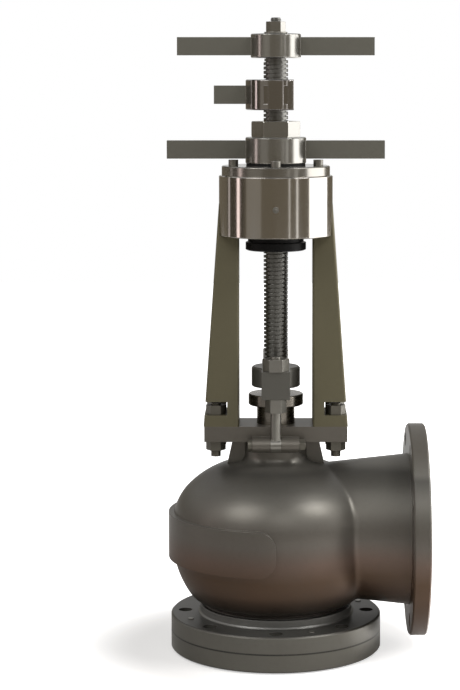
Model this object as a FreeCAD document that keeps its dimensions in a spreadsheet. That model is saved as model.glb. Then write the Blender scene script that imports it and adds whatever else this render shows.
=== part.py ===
import FreeCAD
import Part
import Sketcher
import math
import os

V = FreeCAD.Vector

# Driving dimensions, in millimetres and degrees
SIZES = {
    # Line flanges, eight inch, class 150
    "line_bore_radius": 100,
    "flange_width": 72.5,
    "flange_edge": 2.5,
    "bolt_edge_distance": 23.25,
    "bolt_hole_radius": 11.1,
    "bolt_hole_count": 8,
    "raised_face_width": 34.9,
    "raised_face_height": 2,
    "seat_flange_thickness": 31.5,
    "body_flange_thickness": 27.5,
    "outlet_flange_thickness": 28,
    "outlet_rise": 136,
    "outlet_length": 77.5,
    "outlet_wall_start": 7.4,
    "outlet_wall_end": 23,
    "outlet_bore_inset": 20,
    "outlet_blend": 16,
    # Cast bowl
    "foot_wall": 20,
    "foot_ring_width": 3,
    "foot_ring_height": 3,
    "bowl_overhang": 45,
    "belt_drop": 15,
    "belt_height": 25,
    "bowl_wall": 18,
    "belly_bend": 150,
    "belly_turn": 35,
    "heel_bend": 40,
    "heel_turn": 80,
    "heel_lip": 3.2,
    "shoulder_bend": 88,
    "shoulder_turn": 46,
    "crown_bend": 150,
    "pad_stand": 6.5,
    "pad_drop": 43,
    "pad_height": 74,
    "pad_corner": 28,
    # Neck, mounting plate and ribs
    "neck_radius": 52,
    "neck_blend": 14,
    "neck_length": 36.2,
    "plate_thickness": 25,
    "plate_half_length": 116.5,
    "plate_half_depth": 44,
    "rib_top_reach": 70,
    "rib_spread": 11.5,
    "rib_sink": 14,
    "rib_thickness": 24,
    # Stuffing box
    "box_wall": 20.8,
    "box_boss_step": 2,
    "box_boss_drop": 37,
    "box_floor_thickness": 17,
    "throat_bush_height": 12,
    "packing_ring_height": 11.2,
    "packing_ring_count": 5,
    # Seat and plug
    "seat_bore_step": 12,
    "seat_wall": 17,
    "seat_rim_width": 15.3,
    "seat_recess_depth": 11.5,
    "seat_height": 42.5,
    "seat_face_width": 8,
    "gasket_thickness": 1.5,
    "gasket_edge": 1,
    "plug_overlap": 10,
    "plug_nose": 16,
    "plug_lip": 3,
    "plug_lip_width": 4,
    "plug_skirt": 16,
    "plug_boss_radius": 32,
    "plug_boss_height": 18,
    "plug_foot_width": 12,
    "plug_height": 68,
    "plug_pin_radius": 5,
    "plug_pin_drop": 9,
    # Stem
    "stem_radius": 20,
    "stem_socket": 24,
    "stem_seat_step": 4,
    "stem_end_radius": 8.8,
    "stem_grip": 35,
    "stem_tip": 6.5,
    # Gland
    "follower_radius": 45,
    "follower_stand": 30.5,
    "follower_flange": 18.5,
    "gland_bar_height": 45,
    "gland_bar_half_width": 23,
    "gland_bar_end": 16,
    "gland_boss_radius": 40,
    "gland_boss_height": 33,
    "gland_bore_step": 1,
    "eye_stand": 18,
    "eyebolt_radius": 8.5,
    "eyebolt_tip": 3,
    "eyebolt_clearance": 1,
    "eye_drop": 2.5,
    "eye_radius": 11.8,
    "eye_gap": 17.5,
    "ear_root": 8,
    "ear_half_span": 38,
    "pin_radius": 6,
    "pin_head_radius": 10,
    "pin_head_length": 7,
    "pin_nut_flats": 18,
    "pin_nut_length": 9,
    "pin_tip": 4,
    "gland_nut_flats": 37,
    "gland_nut_height": 20,
    "jam_nut_flats": 30,
    "jam_nut_height": 22,
    # Yoke
    "yoke_height": 309,
    "leg_inner": 60,
    "leg_overhang": 1,
    "leg_grip": 53,
    "leg_head_half_depth": 16,
    "leg_edge": 4,
    "window_reach": 19,
    "window_height": 22,
    "foot_thickness": 18,
    "stud_edge": 18.5,
    "stud_spacing": 48,
    "stud_radius": 8,
    "stud_tail": 10.5,
    "stud_tip": 3,
    "stud_nut_flats": 28,
    "stud_nut_height": 15.5,
    # Bearing housing
    "housing_wall": 31.3,
    "housing_height": 99,
    "housing_floor": 20,
    "collar_gap": 5,
    "cap_step": 4.6,
    "cap_thickness": 15.5,
    "cap_screw_inset": 7.5,
    "cap_screw_radius": 5,
    "cap_screw_head_radius": 8,
    "cap_screw_head_height": 9.5,
    "cap_screw_depth": 30,
    "seal_width": 8.5,
    "seal_height": 9,
    "seal_lip_width": 13,
    "seal_lip_height": 3.2,
    "dust_ring_wall": 10.3,
    "dust_ring_lip": 3.7,
    "dust_ring_drop": 24,
    "dust_ring_band": 13,
    "dust_ring_bore_gap": 1.5,
    "dust_ring_sill": 2,
    "nipple_rise": 47,
    "nipple_radius": 4,
    "nipple_depth": 12,
    "nipple_collar": 2,
    "nipple_stand": 4.5,
    # Stem nut and thrust bearings
    "nut_tail": 16,
    "nut_wall": 15.5,
    "nut_collar_width": 21.5,
    "nut_collar_height": 22,
    "nut_seat_step": 3.5,
    "nut_thread_step": 2.2,
    "nut_thread_short": 3,
    "washer_thickness": 6,
    "washer_clearance": 2,
    "roller_race_height": 10,
    "roller_length": 14,
    "roller_count": 12,
    "cage_thickness": 3,
    "cage_margin": 2,
    # Handles
    "drive_hub_wall": 17.7,
    "drive_hub_gap": 3.5,
    "drive_hub_height": 43,
    "drive_bar_reach": 178,
    "drive_bar_drop": 5.5,
    "bar_height": 29.5,
    "bar_thickness": 20,
    "drive_nut_wall": 9.7,
    "drive_nut_height": 26,
    "key_width": 10,
    "key_depth": 4,
    "top_hub_wall": 25,
    "top_hub_height": 39.5,
    "top_hub_short": 1,
    "top_bar_reach": 161,
    "top_bar_drop": 5.5,
    "top_washer_radius": 19,
    "top_washer_thickness": 3,
    "top_nut_flats": 27.7,
    "top_nut_height": 17,
    # Lock lever
    "lever_gap": 18.5,
    "lever_wall": 29.5,
    "lever_height": 49.5,
    "lever_flat_wall": 9,
    "lever_arm_root": 10,
    "lever_arm_reach": 101,
    "lever_arm_height": 30,
    "lever_slot_inner": 12.5,
    "lever_slot_width": 7,
    "lever_slot_depth": 5,
    # Seat flange screws
    "seat_screw_radius": 5,
    "seat_screw_head_radius": 10,
    "seat_screw_count": 4,
    "seat_screw_turn": 22.5,
    "seat_screw_stand": 1,
    # Fits and tool margins
    "running_gap": 0.1,
    "seat_gap": 0.3,
    "close_gap": 0.05,
    "small_edge": 1.5,
    "corner_share": 0.98,
    "overcut": 1,
}


def work_out(s):
    """Adds the sizes that follow from the driving ones, from the inlet face upwards."""
    # Radii of the seat, the foot and the bowl, from the bore outwards
    s.flange_radius = s.line_bore_radius + s.flange_width
    s.raised_face_radius = s.line_bore_radius + s.raised_face_width
    s.bolt_circle_radius = s.flange_radius - s.bolt_edge_distance
    s.seat_bore_radius = s.line_bore_radius - s.seat_bore_step
    s.seat_pocket_radius = s.seat_bore_radius + s.seat_wall
    s.seat_recess_radius = s.seat_pocket_radius + s.seat_rim_width
    s.plug_radius = s.seat_bore_radius + s.plug_overlap
    s.foot_ring_radius = s.seat_pocket_radius + s.foot_wall
    s.bowl_radius = s.foot_ring_radius + s.bowl_overhang
    s.pad_radius = s.bowl_radius + s.pad_stand
    s.outlet_reach = s.bowl_radius + s.outlet_length

    # Heights of the seat and the bowl
    s.flange_top = s.seat_flange_thickness + s.body_flange_thickness
    s.outlet_height = s.flange_top + s.outlet_rise
    s.bowl_belt_low = s.outlet_height - s.belt_drop
    s.bowl_belt_high = s.bowl_belt_low + s.belt_height
    s.pad_low = s.outlet_height - s.pad_drop
    s.seat_top = s.seat_flange_thickness + s.seat_height
    s.plug_low = s.seat_top - s.plug_nose
    s.plug_top = s.seat_top + s.plug_height
    s.plug_pin_height = s.plug_top - s.plug_pin_drop
    s.stem_low = s.plug_top - s.stem_socket

    # The crown's arc meets the shoulder's arc without a corner
    far = s.crown_bend - s.shoulder_bend
    s.crown_x = s.bowl_radius - s.shoulder_bend - far * cosine(s.shoulder_turn)
    s.crown_z = s.bowl_belt_high - far * sine(s.shoulder_turn)
    s.neck_foot = crown_height(s, s.crown_bend, s.neck_radius)
    s.plate_height = s.neck_foot + s.neck_length
    s.plate_top = s.plate_height + s.plate_thickness
    s.rib_foot_height = s.neck_foot - s.rib_sink
    s.rib_foot_reach = s.rib_top_reach + s.rib_spread

    # Stuffing box and gland
    s.box_radius = s.neck_radius - s.box_wall
    s.box_boss_radius = s.neck_radius - s.box_boss_step
    inner_crown = crown_height(s, s.crown_bend - s.bowl_wall, s.box_boss_radius)
    s.box_boss_low = inner_crown - s.box_boss_drop
    s.box_floor = s.box_boss_low + s.box_floor_thickness
    s.packing_low = s.box_floor + s.throat_bush_height
    s.packing_top = s.packing_low + s.packing_ring_count * s.packing_ring_height
    s.outlet_start = s.box_boss_radius + s.outlet_bore_inset
    s.follower_flange_low = s.plate_top + s.follower_stand
    s.gland_bar_low = s.follower_flange_low + s.follower_flange
    s.gland_top = s.gland_bar_low + s.gland_bar_height
    s.eye_height = s.plate_height - s.eye_drop
    s.eyebolt_offset = s.plate_half_depth + s.eye_stand
    s.eyebolt_top = s.gland_top + s.gland_nut_height + s.eyebolt_tip
    s.gland_bar_reach = s.eyebolt_offset + s.gland_bar_end

    # Stem nut, bearing housing and yoke
    s.nut_shaft_radius = s.stem_radius + s.nut_wall
    s.nut_seat_radius = s.nut_shaft_radius - s.nut_seat_step
    s.nut_thread_radius = s.nut_seat_radius - s.nut_thread_step
    s.nut_collar_radius = s.nut_shaft_radius + s.nut_collar_width
    s.housing_bore_radius = s.nut_collar_radius + s.collar_gap
    s.housing_radius = s.housing_bore_radius + s.housing_wall
    s.cap_radius = s.housing_radius - s.cap_step
    s.cap_screw_circle = s.housing_bore_radius + s.cap_screw_inset
    s.seal_radius = s.nut_shaft_radius + s.seal_width
    s.dust_ring_waist = s.nut_shaft_radius + s.dust_ring_wall
    s.dust_ring_radius = s.dust_ring_waist + s.dust_ring_lip
    s.housing_throat_radius = s.dust_ring_waist + s.seat_gap
    s.roller_circle_radius = (s.nut_shaft_radius + s.housing_bore_radius) / 2
    s.housing_low = s.plate_top + s.yoke_height
    s.housing_top = s.housing_low + s.housing_height
    s.cap_top = s.housing_top + s.cap_thickness
    s.nipple_height = s.housing_low + s.nipple_rise
    s.dust_ring_low = s.housing_low - s.dust_ring_drop
    s.nut_low = s.housing_low - s.nut_tail
    s.leg_head_height = s.housing_low + s.leg_grip
    s.leg_head_outer = s.housing_radius - s.seat_gap
    s.leg_foot_outer = s.plate_half_length + s.leg_overhang
    s.stud_offset = s.plate_half_length - s.stud_edge
    s.window_inner = s.stud_offset - s.window_reach
    s.foot_top = s.plate_top + s.foot_thickness
    s.stud_low = s.plate_height - s.stud_nut_height - s.stud_tail
    s.stud_top = s.foot_top + s.stud_nut_height + s.stud_tip

    # Handles, lever and the stem's upper end
    s.drive_hub_low = s.cap_top + s.drive_hub_gap
    s.drive_hub_top = s.drive_hub_low + s.drive_hub_height
    s.drive_hub_radius = s.nut_seat_radius + s.drive_hub_wall
    s.drive_nut_flats = 2 * (s.nut_thread_radius + s.drive_nut_wall / 2)
    s.nut_top = s.drive_hub_top + s.drive_nut_height - s.nut_thread_short
    s.lever_low = s.drive_hub_top + s.drive_nut_height + s.lever_gap
    s.lever_top = s.lever_low + s.lever_height
    s.lever_hub_radius = s.stem_radius + s.lever_wall
    s.lever_flat = s.stem_radius + s.lever_flat_wall
    s.stem_shoulder = s.lever_top + s.stem_grip
    s.stem_seat_radius = s.stem_radius - s.stem_seat_step
    s.stem_seat_top = s.stem_shoulder + s.top_hub_height - s.top_hub_short
    s.top_hub_radius = s.stem_seat_radius + s.top_hub_wall
    s.top_hub_top = s.stem_shoulder + s.top_hub_height
    s.stem_top = s.top_hub_top + s.top_washer_thickness + s.top_nut_height + s.stem_tip


def crown_height(s, bend, reach):
    """The height of the crown's arc of one bend at a radius."""
    across = reach - s.crown_x
    return s.crown_z + root(bend * bend - across * across)


PLANE_NORMALS = {"XY_Plane": 1, "XZ_Plane": -1, "YZ_Plane": 1}
TURNS = {
    "Z": FreeCAD.Rotation(),
    "X": FreeCAD.Rotation(V(0, 1, 0), 90),
    "Y": FreeCAD.Rotation(V(1, 0, 0), -90),
}


class Size:
    """A size: its value now, and the expression that works it out from the sheet."""

    def __init__(self, value, words):
        self.value = value
        self.words = words

    def __add__(self, other):
        other = as_size(other)
        return Size(self.value + other.value, f"({self.words} + {other.words})")

    def __radd__(self, other):
        return as_size(other) + self

    def __sub__(self, other):
        other = as_size(other)
        return Size(self.value - other.value, f"({self.words} - {other.words})")

    def __rsub__(self, other):
        return as_size(other) - self

    def __mul__(self, other):
        other = as_size(other)
        return Size(self.value * other.value, f"({self.words} * {other.words})")

    def __rmul__(self, other):
        return as_size(other) * self

    def __truediv__(self, other):
        other = as_size(other)
        return Size(self.value / other.value, f"({self.words} / {other.words})")

    def __rtruediv__(self, other):
        return as_size(other) / self

    def __neg__(self):
        return 0 - self


def as_size(thing):
    """A plain number as a size of its own."""
    if isinstance(thing, Size):
        return thing
    return Size(float(thing), repr(float(thing)))


def sine(angle):
    angle = as_size(angle)
    return Size(math.sin(math.radians(angle.value)), f"sin({angle.words})")


def cosine(angle):
    angle = as_size(angle)
    return Size(math.cos(math.radians(angle.value)), f"cos({angle.words})")


def root(square):
    return Size(math.sqrt(square.value), f"sqrt({square.words})")


class Sheet:
    """The document's sheet of driving dimensions; each reads as an attribute."""

    def __init__(self, doc, sizes):
        self._values = sizes
        cells = doc.addObject("Spreadsheet::Sheet", "sizes")
        for row, (name, value) in enumerate(sizes.items(), start=1):
            cells.set(f"A{row}", name)
            cells.set(f"B{row}", str(value))
            cells.setAlias(f"B{row}", name)
        doc.recompute()

    def __getattr__(self, name):
        return Size(float(self._values[name]), f"sizes.{name}")


class Bend:
    """An arc for one side of an outline; left says that its centre lies left of the way."""

    def __init__(self, radius, left=True):
        self.radius = radius
        self.left = left


def bind(thing, name, size):
    """Sets a property to a size and ties it to the sheet."""
    size = as_size(size)
    setattr(thing, name, size.value)
    thing.setExpression(name, size.words)


def place(thing, base, turn=None):
    """Puts a primitive at a base point given as three sizes."""
    base = [as_size(part) for part in base]
    rotation = turn if turn is not None else FreeCAD.Rotation()
    thing.Placement = FreeCAD.Placement(V(*[part.value for part in base]), rotation)
    for letter, part in zip("xyz", base):
        thing.setExpression(f".Placement.Base.{letter}", part.words)


def sketch_on(body, plane_role, name, lift=None):
    """A sketch on one of the body's own origin planes, lifted along the positive axis."""
    sketch = body.newObject("Sketcher::SketchObject", name)
    planes = [item for item in body.Origin.OriginFeatures if item.Role == plane_role]
    sketch.AttachmentSupport = (planes[0], [""])
    sketch.MapMode = "FlatFace"
    if lift is not None:
        offset = lift * PLANE_NORMALS[plane_role]
        sketch.AttachmentOffset = FreeCAD.Placement(V(0, 0, offset.value), FreeCAD.Rotation())
        sketch.setExpression(".AttachmentOffset.Base.z", offset.words)
    return sketch


def tie_point(sketch, side, end, x, y):
    """Ties one end of a sketch element to the sketch's origin."""
    for kind, size in (("DistanceX", as_size(x)), ("DistanceY", as_size(y))):
        tie = sketch.addConstraint(Sketcher.Constraint(kind, -1, 1, side, end, size.value))
        sketch.setExpression(f"Constraints[{tie}]", size.words)


def tie_radius(sketch, side, radius):
    tie = sketch.addConstraint(Sketcher.Constraint("Radius", side, radius.value))
    sketch.setExpression(f"Constraints[{tie}]", radius.words)


def arc_between(start, end, bend):
    """The short arc between two points, and which of its ends is the start."""
    middle = (start + end) / 2
    along = end - start
    rise = math.sqrt(bend.radius.value ** 2 - (along.Length / 2) ** 2)
    across = V(-along.y, along.x, 0)
    across.normalize()
    centre = middle + across * (rise if bend.left else -rise)
    first, last = (start, end) if bend.left else (end, start)
    angles = [math.atan2(point.y - centre.y, point.x - centre.x) for point in (first, last)]
    circle = Part.Circle(centre, V(0, 0, 1), bend.radius.value)
    ends = (1, 2) if bend.left else (2, 1)
    return Part.ArcOfCircle(circle, angles[0], angles[1]), ends


def draw_outline(sketch, corners):
    """A closed outline; a corner's third item bends the side that leaves it."""
    points = [V(as_size(corner[0]).value, as_size(corner[1]).value, 0) for corner in corners]
    first = sketch.GeometryCount
    ends = []
    for index, corner in enumerate(corners):
        start = points[index]
        end = points[(index + 1) % len(points)]
        if len(corner) == 3:
            side, side_ends = arc_between(start, end, corner[2])
        else:
            side, side_ends = Part.LineSegment(start, end), (1, 2)
        sketch.addGeometry(side, False)
        ends.append(side_ends)
    for index, corner in enumerate(corners):
        after = (index + 1) % len(corners)
        sketch.addConstraint(
            Sketcher.Constraint(
                "Coincident", first + index, ends[index][1], first + after, ends[after][0]
            )
        )
    for index, corner in enumerate(corners):
        tie_point(sketch, first + index, ends[index][0], corner[0], corner[1])
        if len(corner) == 3:
            tie_radius(sketch, first + index, corner[2].radius)


def draw_rectangle(sketch, low, high):
    """A rectangle between two opposite corners, each given as two sizes."""
    draw_outline(
        sketch,
        [(low[0], low[1]), (high[0], low[1]), (high[0], high[1]), (low[0], high[1])],
    )


def draw_axis(sketch, start, end):
    """A construction line to turn a sketch about; it must be the sketch's first."""
    points = [V(*[as_size(part).value for part in point], 0) for point in (start, end)]
    side = sketch.addGeometry(Part.LineSegment(*points), True)
    tie_point(sketch, side, 1, *start)
    tie_point(sketch, side, 2, *end)


def draw_circle(sketch, x, y, radius):
    centre = V(as_size(x).value, as_size(y).value, 0)
    side = sketch.addGeometry(Part.Circle(centre, V(0, 0, 1), as_size(radius).value), False)
    tie_point(sketch, side, 3, x, y)
    tie_radius(sketch, side, as_size(radius))


def new_body(doc, name):
    body = doc.addObject("PartDesign::Body", name)
    body.Label = name
    return body


def revolve(body, sketch, name, cut=False, axis="V_Axis", angle=360):
    """Turns a sketch about an axis of its own, as solid or as a groove."""
    kind = "PartDesign::Groove" if cut else "PartDesign::Revolution"
    feature = body.newObject(kind, name)
    feature.Profile = sketch
    feature.ReferenceAxis = (sketch, [axis])
    feature.Angle = angle
    return feature


def extrude(body, sketch, name, length, cut=False, both_ways=False, back=False):
    """Pads or pockets a sketch by a length."""
    feature = body.newObject("PartDesign::Pocket" if cut else "PartDesign::Pad", name)
    feature.Profile = sketch
    bind(feature, "Length", length)
    if both_ways:
        feature.SideType = "Symmetric"
    feature.Reversed = back
    return feature


def repeat_around(body, feature, name, count, sketch, axis):
    """Repeats a feature round an axis of a sketch."""
    pattern = body.newObject("PartDesign::PolarPattern", name)
    pattern.Originals = [feature]
    pattern.Axis = (sketch, [axis])
    pattern.Angle = 360
    pattern.Occurrences = int(count.value)
    pattern.setExpression("Occurrences", count.words)
    body.Tip = pattern
    return pattern


def round_edges(body, feature, name, radius, wanted):
    """Fillets the edges of a feature that pass a test."""
    body.Document.recompute()
    edges = [
        f"Edge{number}"
        for number, edge in enumerate(feature.Shape.Edges, start=1)
        if wanted(edge)
    ]
    fillet = body.newObject("PartDesign::Fillet", name)
    fillet.Base = (feature, edges)
    bind(fillet, "Radius", radius)
    return fillet


def turned(doc, name, corners):
    """A body turned about the stem axis from an outline of radius and height."""
    body = new_body(doc, name)
    sketch = sketch_on(body, "XZ_Plane", f"{name}_outline")
    draw_outline(sketch, corners)
    revolve(body, sketch, f"{name}_turning")
    return body


def ring_corners(inner, outer, low, high, edge):
    """The section of a ring with its outer edges broken."""
    return [
        (inner, low),
        (outer - edge, low),
        (outer, low + edge),
        (outer, high - edge),
        (outer - edge, high),
        (inner, high),
    ]


def cylinder(doc, name, radius, length, base, axis="Z"):
    piece = doc.addObject("Part::Cylinder", name)
    bind(piece, "Radius", radius)
    bind(piece, "Height", length)
    place(piece, base, TURNS[axis])
    return piece


def cone(doc, name, low_radius, high_radius, length, base):
    piece = doc.addObject("Part::Cone", name)
    bind(piece, "Radius1", low_radius)
    bind(piece, "Radius2", high_radius)
    bind(piece, "Height", length)
    place(piece, base)
    return piece


def join(doc, name, pieces):
    piece = doc.addObject("Part::MultiFuse", name)
    piece.Shapes = pieces
    return piece


def take_away(doc, name, base, tool):
    piece = doc.addObject("Part::Cut", name)
    piece.Base = base
    piece.Tool = tool
    return piece


def group(doc, name, pieces):
    """Like pieces kept as separate solids of one sub-part."""
    whole = doc.addObject("Part::Compound", name)
    whole.Links = pieces
    whole.Label = name
    return whole


def hexagon(doc, s, name, flats, length, base, axis="Z"):
    """A hexagonal prism, a corner towards +X, with corners rounded off at both ends."""
    prism = doc.addObject("Part::Prism", f"{name}_prism")
    prism.Polygon = 6
    bind(prism, "Circumradius", flats / math.sqrt(3))
    bind(prism, "Height", length)
    place(prism, base, TURNS[axis])
    ball = doc.addObject("Part::Sphere", f"{name}_rounding")
    reach = s.corner_share * flats / math.sqrt(3)
    bind(ball, "Radius", root(reach * reach + length * length / 4))
    steps = {"X": (1, 0, 0), "Y": (0, 1, 0), "Z": (0, 0, 1)}[axis]
    place(ball, [as_size(part) + length / 2 * step for part, step in zip(base, steps)])
    piece = doc.addObject("Part::Common", name)
    piece.Base = prism
    piece.Tool = ball
    return piece


def hex_nut(doc, s, name, flats, length, bore, base, axis="Z"):
    block = hexagon(doc, s, f"{name}_block", flats, length, base, axis)
    hole = cylinder(doc, f"{name}_bore", bore, length, base, axis)
    return take_away(doc, name, block, hole)


def bowl_corners(s, inset, low, high, reach_low, reach_high):
    """The bowl's wall line from its foot to its crown, moved in by inset.

    It starts at radius reach_low and height low, and ends at radius reach_high.
    """
    belly_x = s.bowl_radius - s.belly_bend
    belly = s.belly_bend - inset
    heel = s.heel_bend - inset
    heel_x = belly_x + (s.belly_bend - s.heel_bend) * cosine(s.belly_turn)
    heel_z = s.bowl_belt_low - (s.belly_bend - s.heel_bend) * sine(s.belly_turn)
    shoulder_x = s.bowl_radius - s.shoulder_bend
    shoulder = s.shoulder_bend - inset
    crown = s.crown_bend - inset
    return [
        (reach_low, low),
        (heel_x + heel * cosine(s.heel_turn), heel_z - heel * sine(s.heel_turn), Bend(heel)),
        (
            belly_x + belly * cosine(s.belly_turn),
            s.bowl_belt_low - belly * sine(s.belly_turn),
            Bend(belly),
        ),
        (s.bowl_radius - inset, s.bowl_belt_low),
        (s.bowl_radius - inset, s.bowl_belt_high, Bend(shoulder)),
        (
            shoulder_x + shoulder * cosine(s.shoulder_turn),
            s.bowl_belt_high + shoulder * sine(s.shoulder_turn),
            Bend(crown),
        ),
        (reach_high, crown_height(s, crown, reach_high)),
        (reach_high, high),
    ]


def inner_heel_height(s):
    """The height at which the bowl's inner wall starts to curve out from the seat pocket."""
    heel_z = s.bowl_belt_low - (s.belly_bend - s.heel_bend) * sine(s.belly_turn)
    return heel_z - (s.heel_bend - s.bowl_wall) * sine(s.heel_turn)


def is_circle_at(edge, radius, height):
    """Whether an edge is a level circle about the stem axis of that radius and height."""
    box = edge.BoundBox
    near = 0.01 * radius.value
    return (
        box.ZLength < near
        and abs(box.ZMin - height.value) < near
        and abs(box.XMax - radius.value) < near
    )


def is_pad_corner(s, edge):
    """Whether an edge is one of the four short ones at the ends of the side pad."""
    box = edge.BoundBox
    levels = (s.pad_low.value, (s.pad_low + s.pad_height).value)
    return (
        max(abs(box.XMin), abs(box.XMax), box.ZLength) < 0.01 * s.pad_stand.value
        and min(abs(box.ZMin - level) for level in levels) < 0.01 * s.pad_stand.value
        and max(abs(box.YMin), abs(box.YMax)) > s.bowl_radius.value
    )


def make_valve_body(doc, s):
    """The one-piece casting: bowl, both line flanges, neck, ribs, plate and eyebolt ears."""
    body = new_body(doc, "valve_body")
    low = s.seat_flange_thickness
    top = s.flange_top

    outside = sketch_on(body, "XZ_Plane", "bowl_outline")
    foot = [
        (0, low),
        (s.flange_radius, low),
        (s.flange_radius, top - s.flange_edge),
        (s.flange_radius - s.flange_edge, top),
        (s.foot_ring_radius + s.foot_ring_width, top),
    ]
    wall = bowl_corners(
        s, as_size(0), top + s.foot_ring_height, s.plate_height + s.overcut,
        s.foot_ring_radius, s.neck_radius,
    )
    draw_outline(outside, foot + wall + [(0, s.plate_height + s.overcut)])
    bowl = revolve(body, outside, "bowl")
    bowl = round_edges(
        body, bowl, "neck_blend", s.neck_blend,
        lambda edge: is_circle_at(edge, s.neck_radius, s.neck_foot),
    )

    outlet = sketch_on(body, "XZ_Plane", "outlet_outline")
    draw_axis(outlet, (0, s.outlet_height), (s.outlet_reach, s.outlet_height))
    rim_face = s.outlet_reach - s.raised_face_height
    rim_back = rim_face - s.outlet_flange_thickness
    edge = s.flange_edge
    height = s.outlet_height
    draw_outline(outlet, [
        (s.outlet_start, height),
        (s.outlet_reach, height),
        (s.outlet_reach, height + s.raised_face_radius),
        (rim_face, height + s.raised_face_radius),
        (rim_face, height + s.flange_radius - edge),
        (rim_face - edge, height + s.flange_radius),
        (rim_back + edge, height + s.flange_radius),
        (rim_back, height + s.flange_radius - edge),
        (rim_back, height + s.line_bore_radius + s.outlet_wall_end),
        (s.outlet_start, height + s.line_bore_radius + s.outlet_wall_start),
    ])
    spout = revolve(body, outlet, "outlet", axis="Axis0")
    spout = round_edges(
        body, spout, "outlet_blend", s.outlet_blend,
        lambda edge: edge.BoundBox.XMin > s.outlet_start.value
        and edge.BoundBox.XMax < s.bowl_radius.value
        and edge.BoundBox.ZLength > s.outlet_blend.value
        and edge.BoundBox.XLength > s.flange_edge.value,
    )

    pad_outline = sketch_on(body, "YZ_Plane", "side_pad_outline")
    draw_rectangle(
        pad_outline,
        (s.bowl_radius - s.bowl_wall / 2, s.pad_low),
        (s.pad_radius, s.pad_low + s.pad_height),
    )
    pad = revolve(body, pad_outline, "side_pad", angle=180)
    round_edges(
        body, pad, "side_pad_corners", s.pad_corner,
        lambda edge: is_pad_corner(s, edge),
    )

    rib = sketch_on(body, "XZ_Plane", "rib_outline")
    draw_outline(rib, [
        (-s.rib_foot_reach, s.rib_foot_height),
        (s.rib_foot_reach, s.rib_foot_height),
        (s.rib_top_reach, s.plate_height + s.overcut),
        (-s.rib_top_reach, s.plate_height + s.overcut),
    ])
    extrude(body, rib, "ribs", s.rib_thickness, both_ways=True)

    ears = sketch_on(body, "YZ_Plane", "ear_outline")
    for way in (1, -1):
        ear_corners = [
            (way * (s.plate_half_depth - s.ear_root), s.eye_height - s.eye_radius),
            (way * s.eyebolt_offset, s.eye_height - s.eye_radius, Bend(s.eye_radius, way > 0)),
            (way * (s.eyebolt_offset + s.eye_radius), s.eye_height, Bend(s.eye_radius, way > 0)),
            (way * s.eyebolt_offset, s.eye_height + s.eye_radius),
            (way * (s.plate_half_depth - s.ear_root), s.eye_height + s.eye_radius),
        ]
        draw_outline(ears, ear_corners)
    extrude(body, ears, "ears", 2 * s.ear_half_span, both_ways=True)

    plate = sketch_on(body, "XY_Plane", "plate_outline", s.plate_height)
    draw_rectangle(
        plate, (-s.plate_half_length, -s.plate_half_depth), (s.plate_half_length, s.plate_half_depth)
    )
    extrude(body, plate, "plate", s.plate_thickness)

    gap = sketch_on(body, "YZ_Plane", "ear_gap_outline")
    for way in (1, -1):
        draw_rectangle(
            gap,
            (way * (s.plate_half_depth + s.overcut), s.eye_height - s.eye_radius - s.overcut),
            (way * (s.eyebolt_offset + s.eye_radius + s.overcut), s.plate_top),
        )
    extrude(body, gap, "ear_gap", s.eye_gap, cut=True, both_ways=True)

    pins = sketch_on(body, "YZ_Plane", "pin_hole_outline")
    for way in (1, -1):
        draw_circle(pins, way * s.eyebolt_offset, s.eye_height, s.pin_radius + s.close_gap)
    extrude(
        body, pins, "pin_holes", 2 * (s.ear_half_span + s.overcut), cut=True, both_ways=True
    )

    cavity = sketch_on(body, "XZ_Plane", "cavity_outline")
    inner = bowl_corners(
        s, s.bowl_wall, inner_heel_height(s) - s.heel_lip, s.box_boss_low,
        s.seat_pocket_radius, s.box_boss_radius,
    )
    recess_top = low + s.seat_recess_depth
    draw_outline(cavity, [
        (0, low - s.overcut),
        (s.seat_recess_radius, low - s.overcut),
        (s.seat_recess_radius, recess_top),
        (s.seat_pocket_radius, recess_top),
    ] + inner + [
        (s.stem_radius + s.gland_bore_step, s.box_boss_low),
        (s.stem_radius + s.gland_bore_step, s.box_floor),
        (s.box_radius, s.box_floor),
        (s.box_radius, s.plate_top + s.overcut),
        (0, s.plate_top + s.overcut),
    ])
    revolve(body, cavity, "cavity", cut=True)

    bore = sketch_on(body, "YZ_Plane", "outlet_bore_outline", s.outlet_reach + s.overcut)
    draw_circle(bore, 0, s.outlet_height, s.line_bore_radius)
    extrude(
        body, bore, "outlet_bore", s.outlet_reach + s.overcut - s.outlet_start, cut=True
    )

    foot_hole = sketch_on(body, "XY_Plane", "foot_hole_outline", top + s.overcut)
    draw_circle(foot_hole, s.bolt_circle_radius, 0, s.bolt_hole_radius)
    hole = extrude(body, foot_hole, "foot_hole", s.body_flange_thickness + 2 * s.overcut, cut=True)
    repeat_around(body, hole, "foot_holes", s.bolt_hole_count, foot_hole, "N_Axis")

    screw_hole = sketch_on(body, "XY_Plane", "screw_hole_outline", top + s.overcut)
    draw_circle(
        screw_hole,
        s.bolt_circle_radius * cosine(s.seat_screw_turn),
        s.bolt_circle_radius * sine(s.seat_screw_turn),
        s.seat_screw_radius + s.close_gap,
    )
    hole = extrude(body, screw_hole, "screw_hole", s.body_flange_thickness + 2 * s.overcut, cut=True)
    repeat_around(body, hole, "screw_holes", s.seat_screw_count, screw_hole, "N_Axis")

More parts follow.
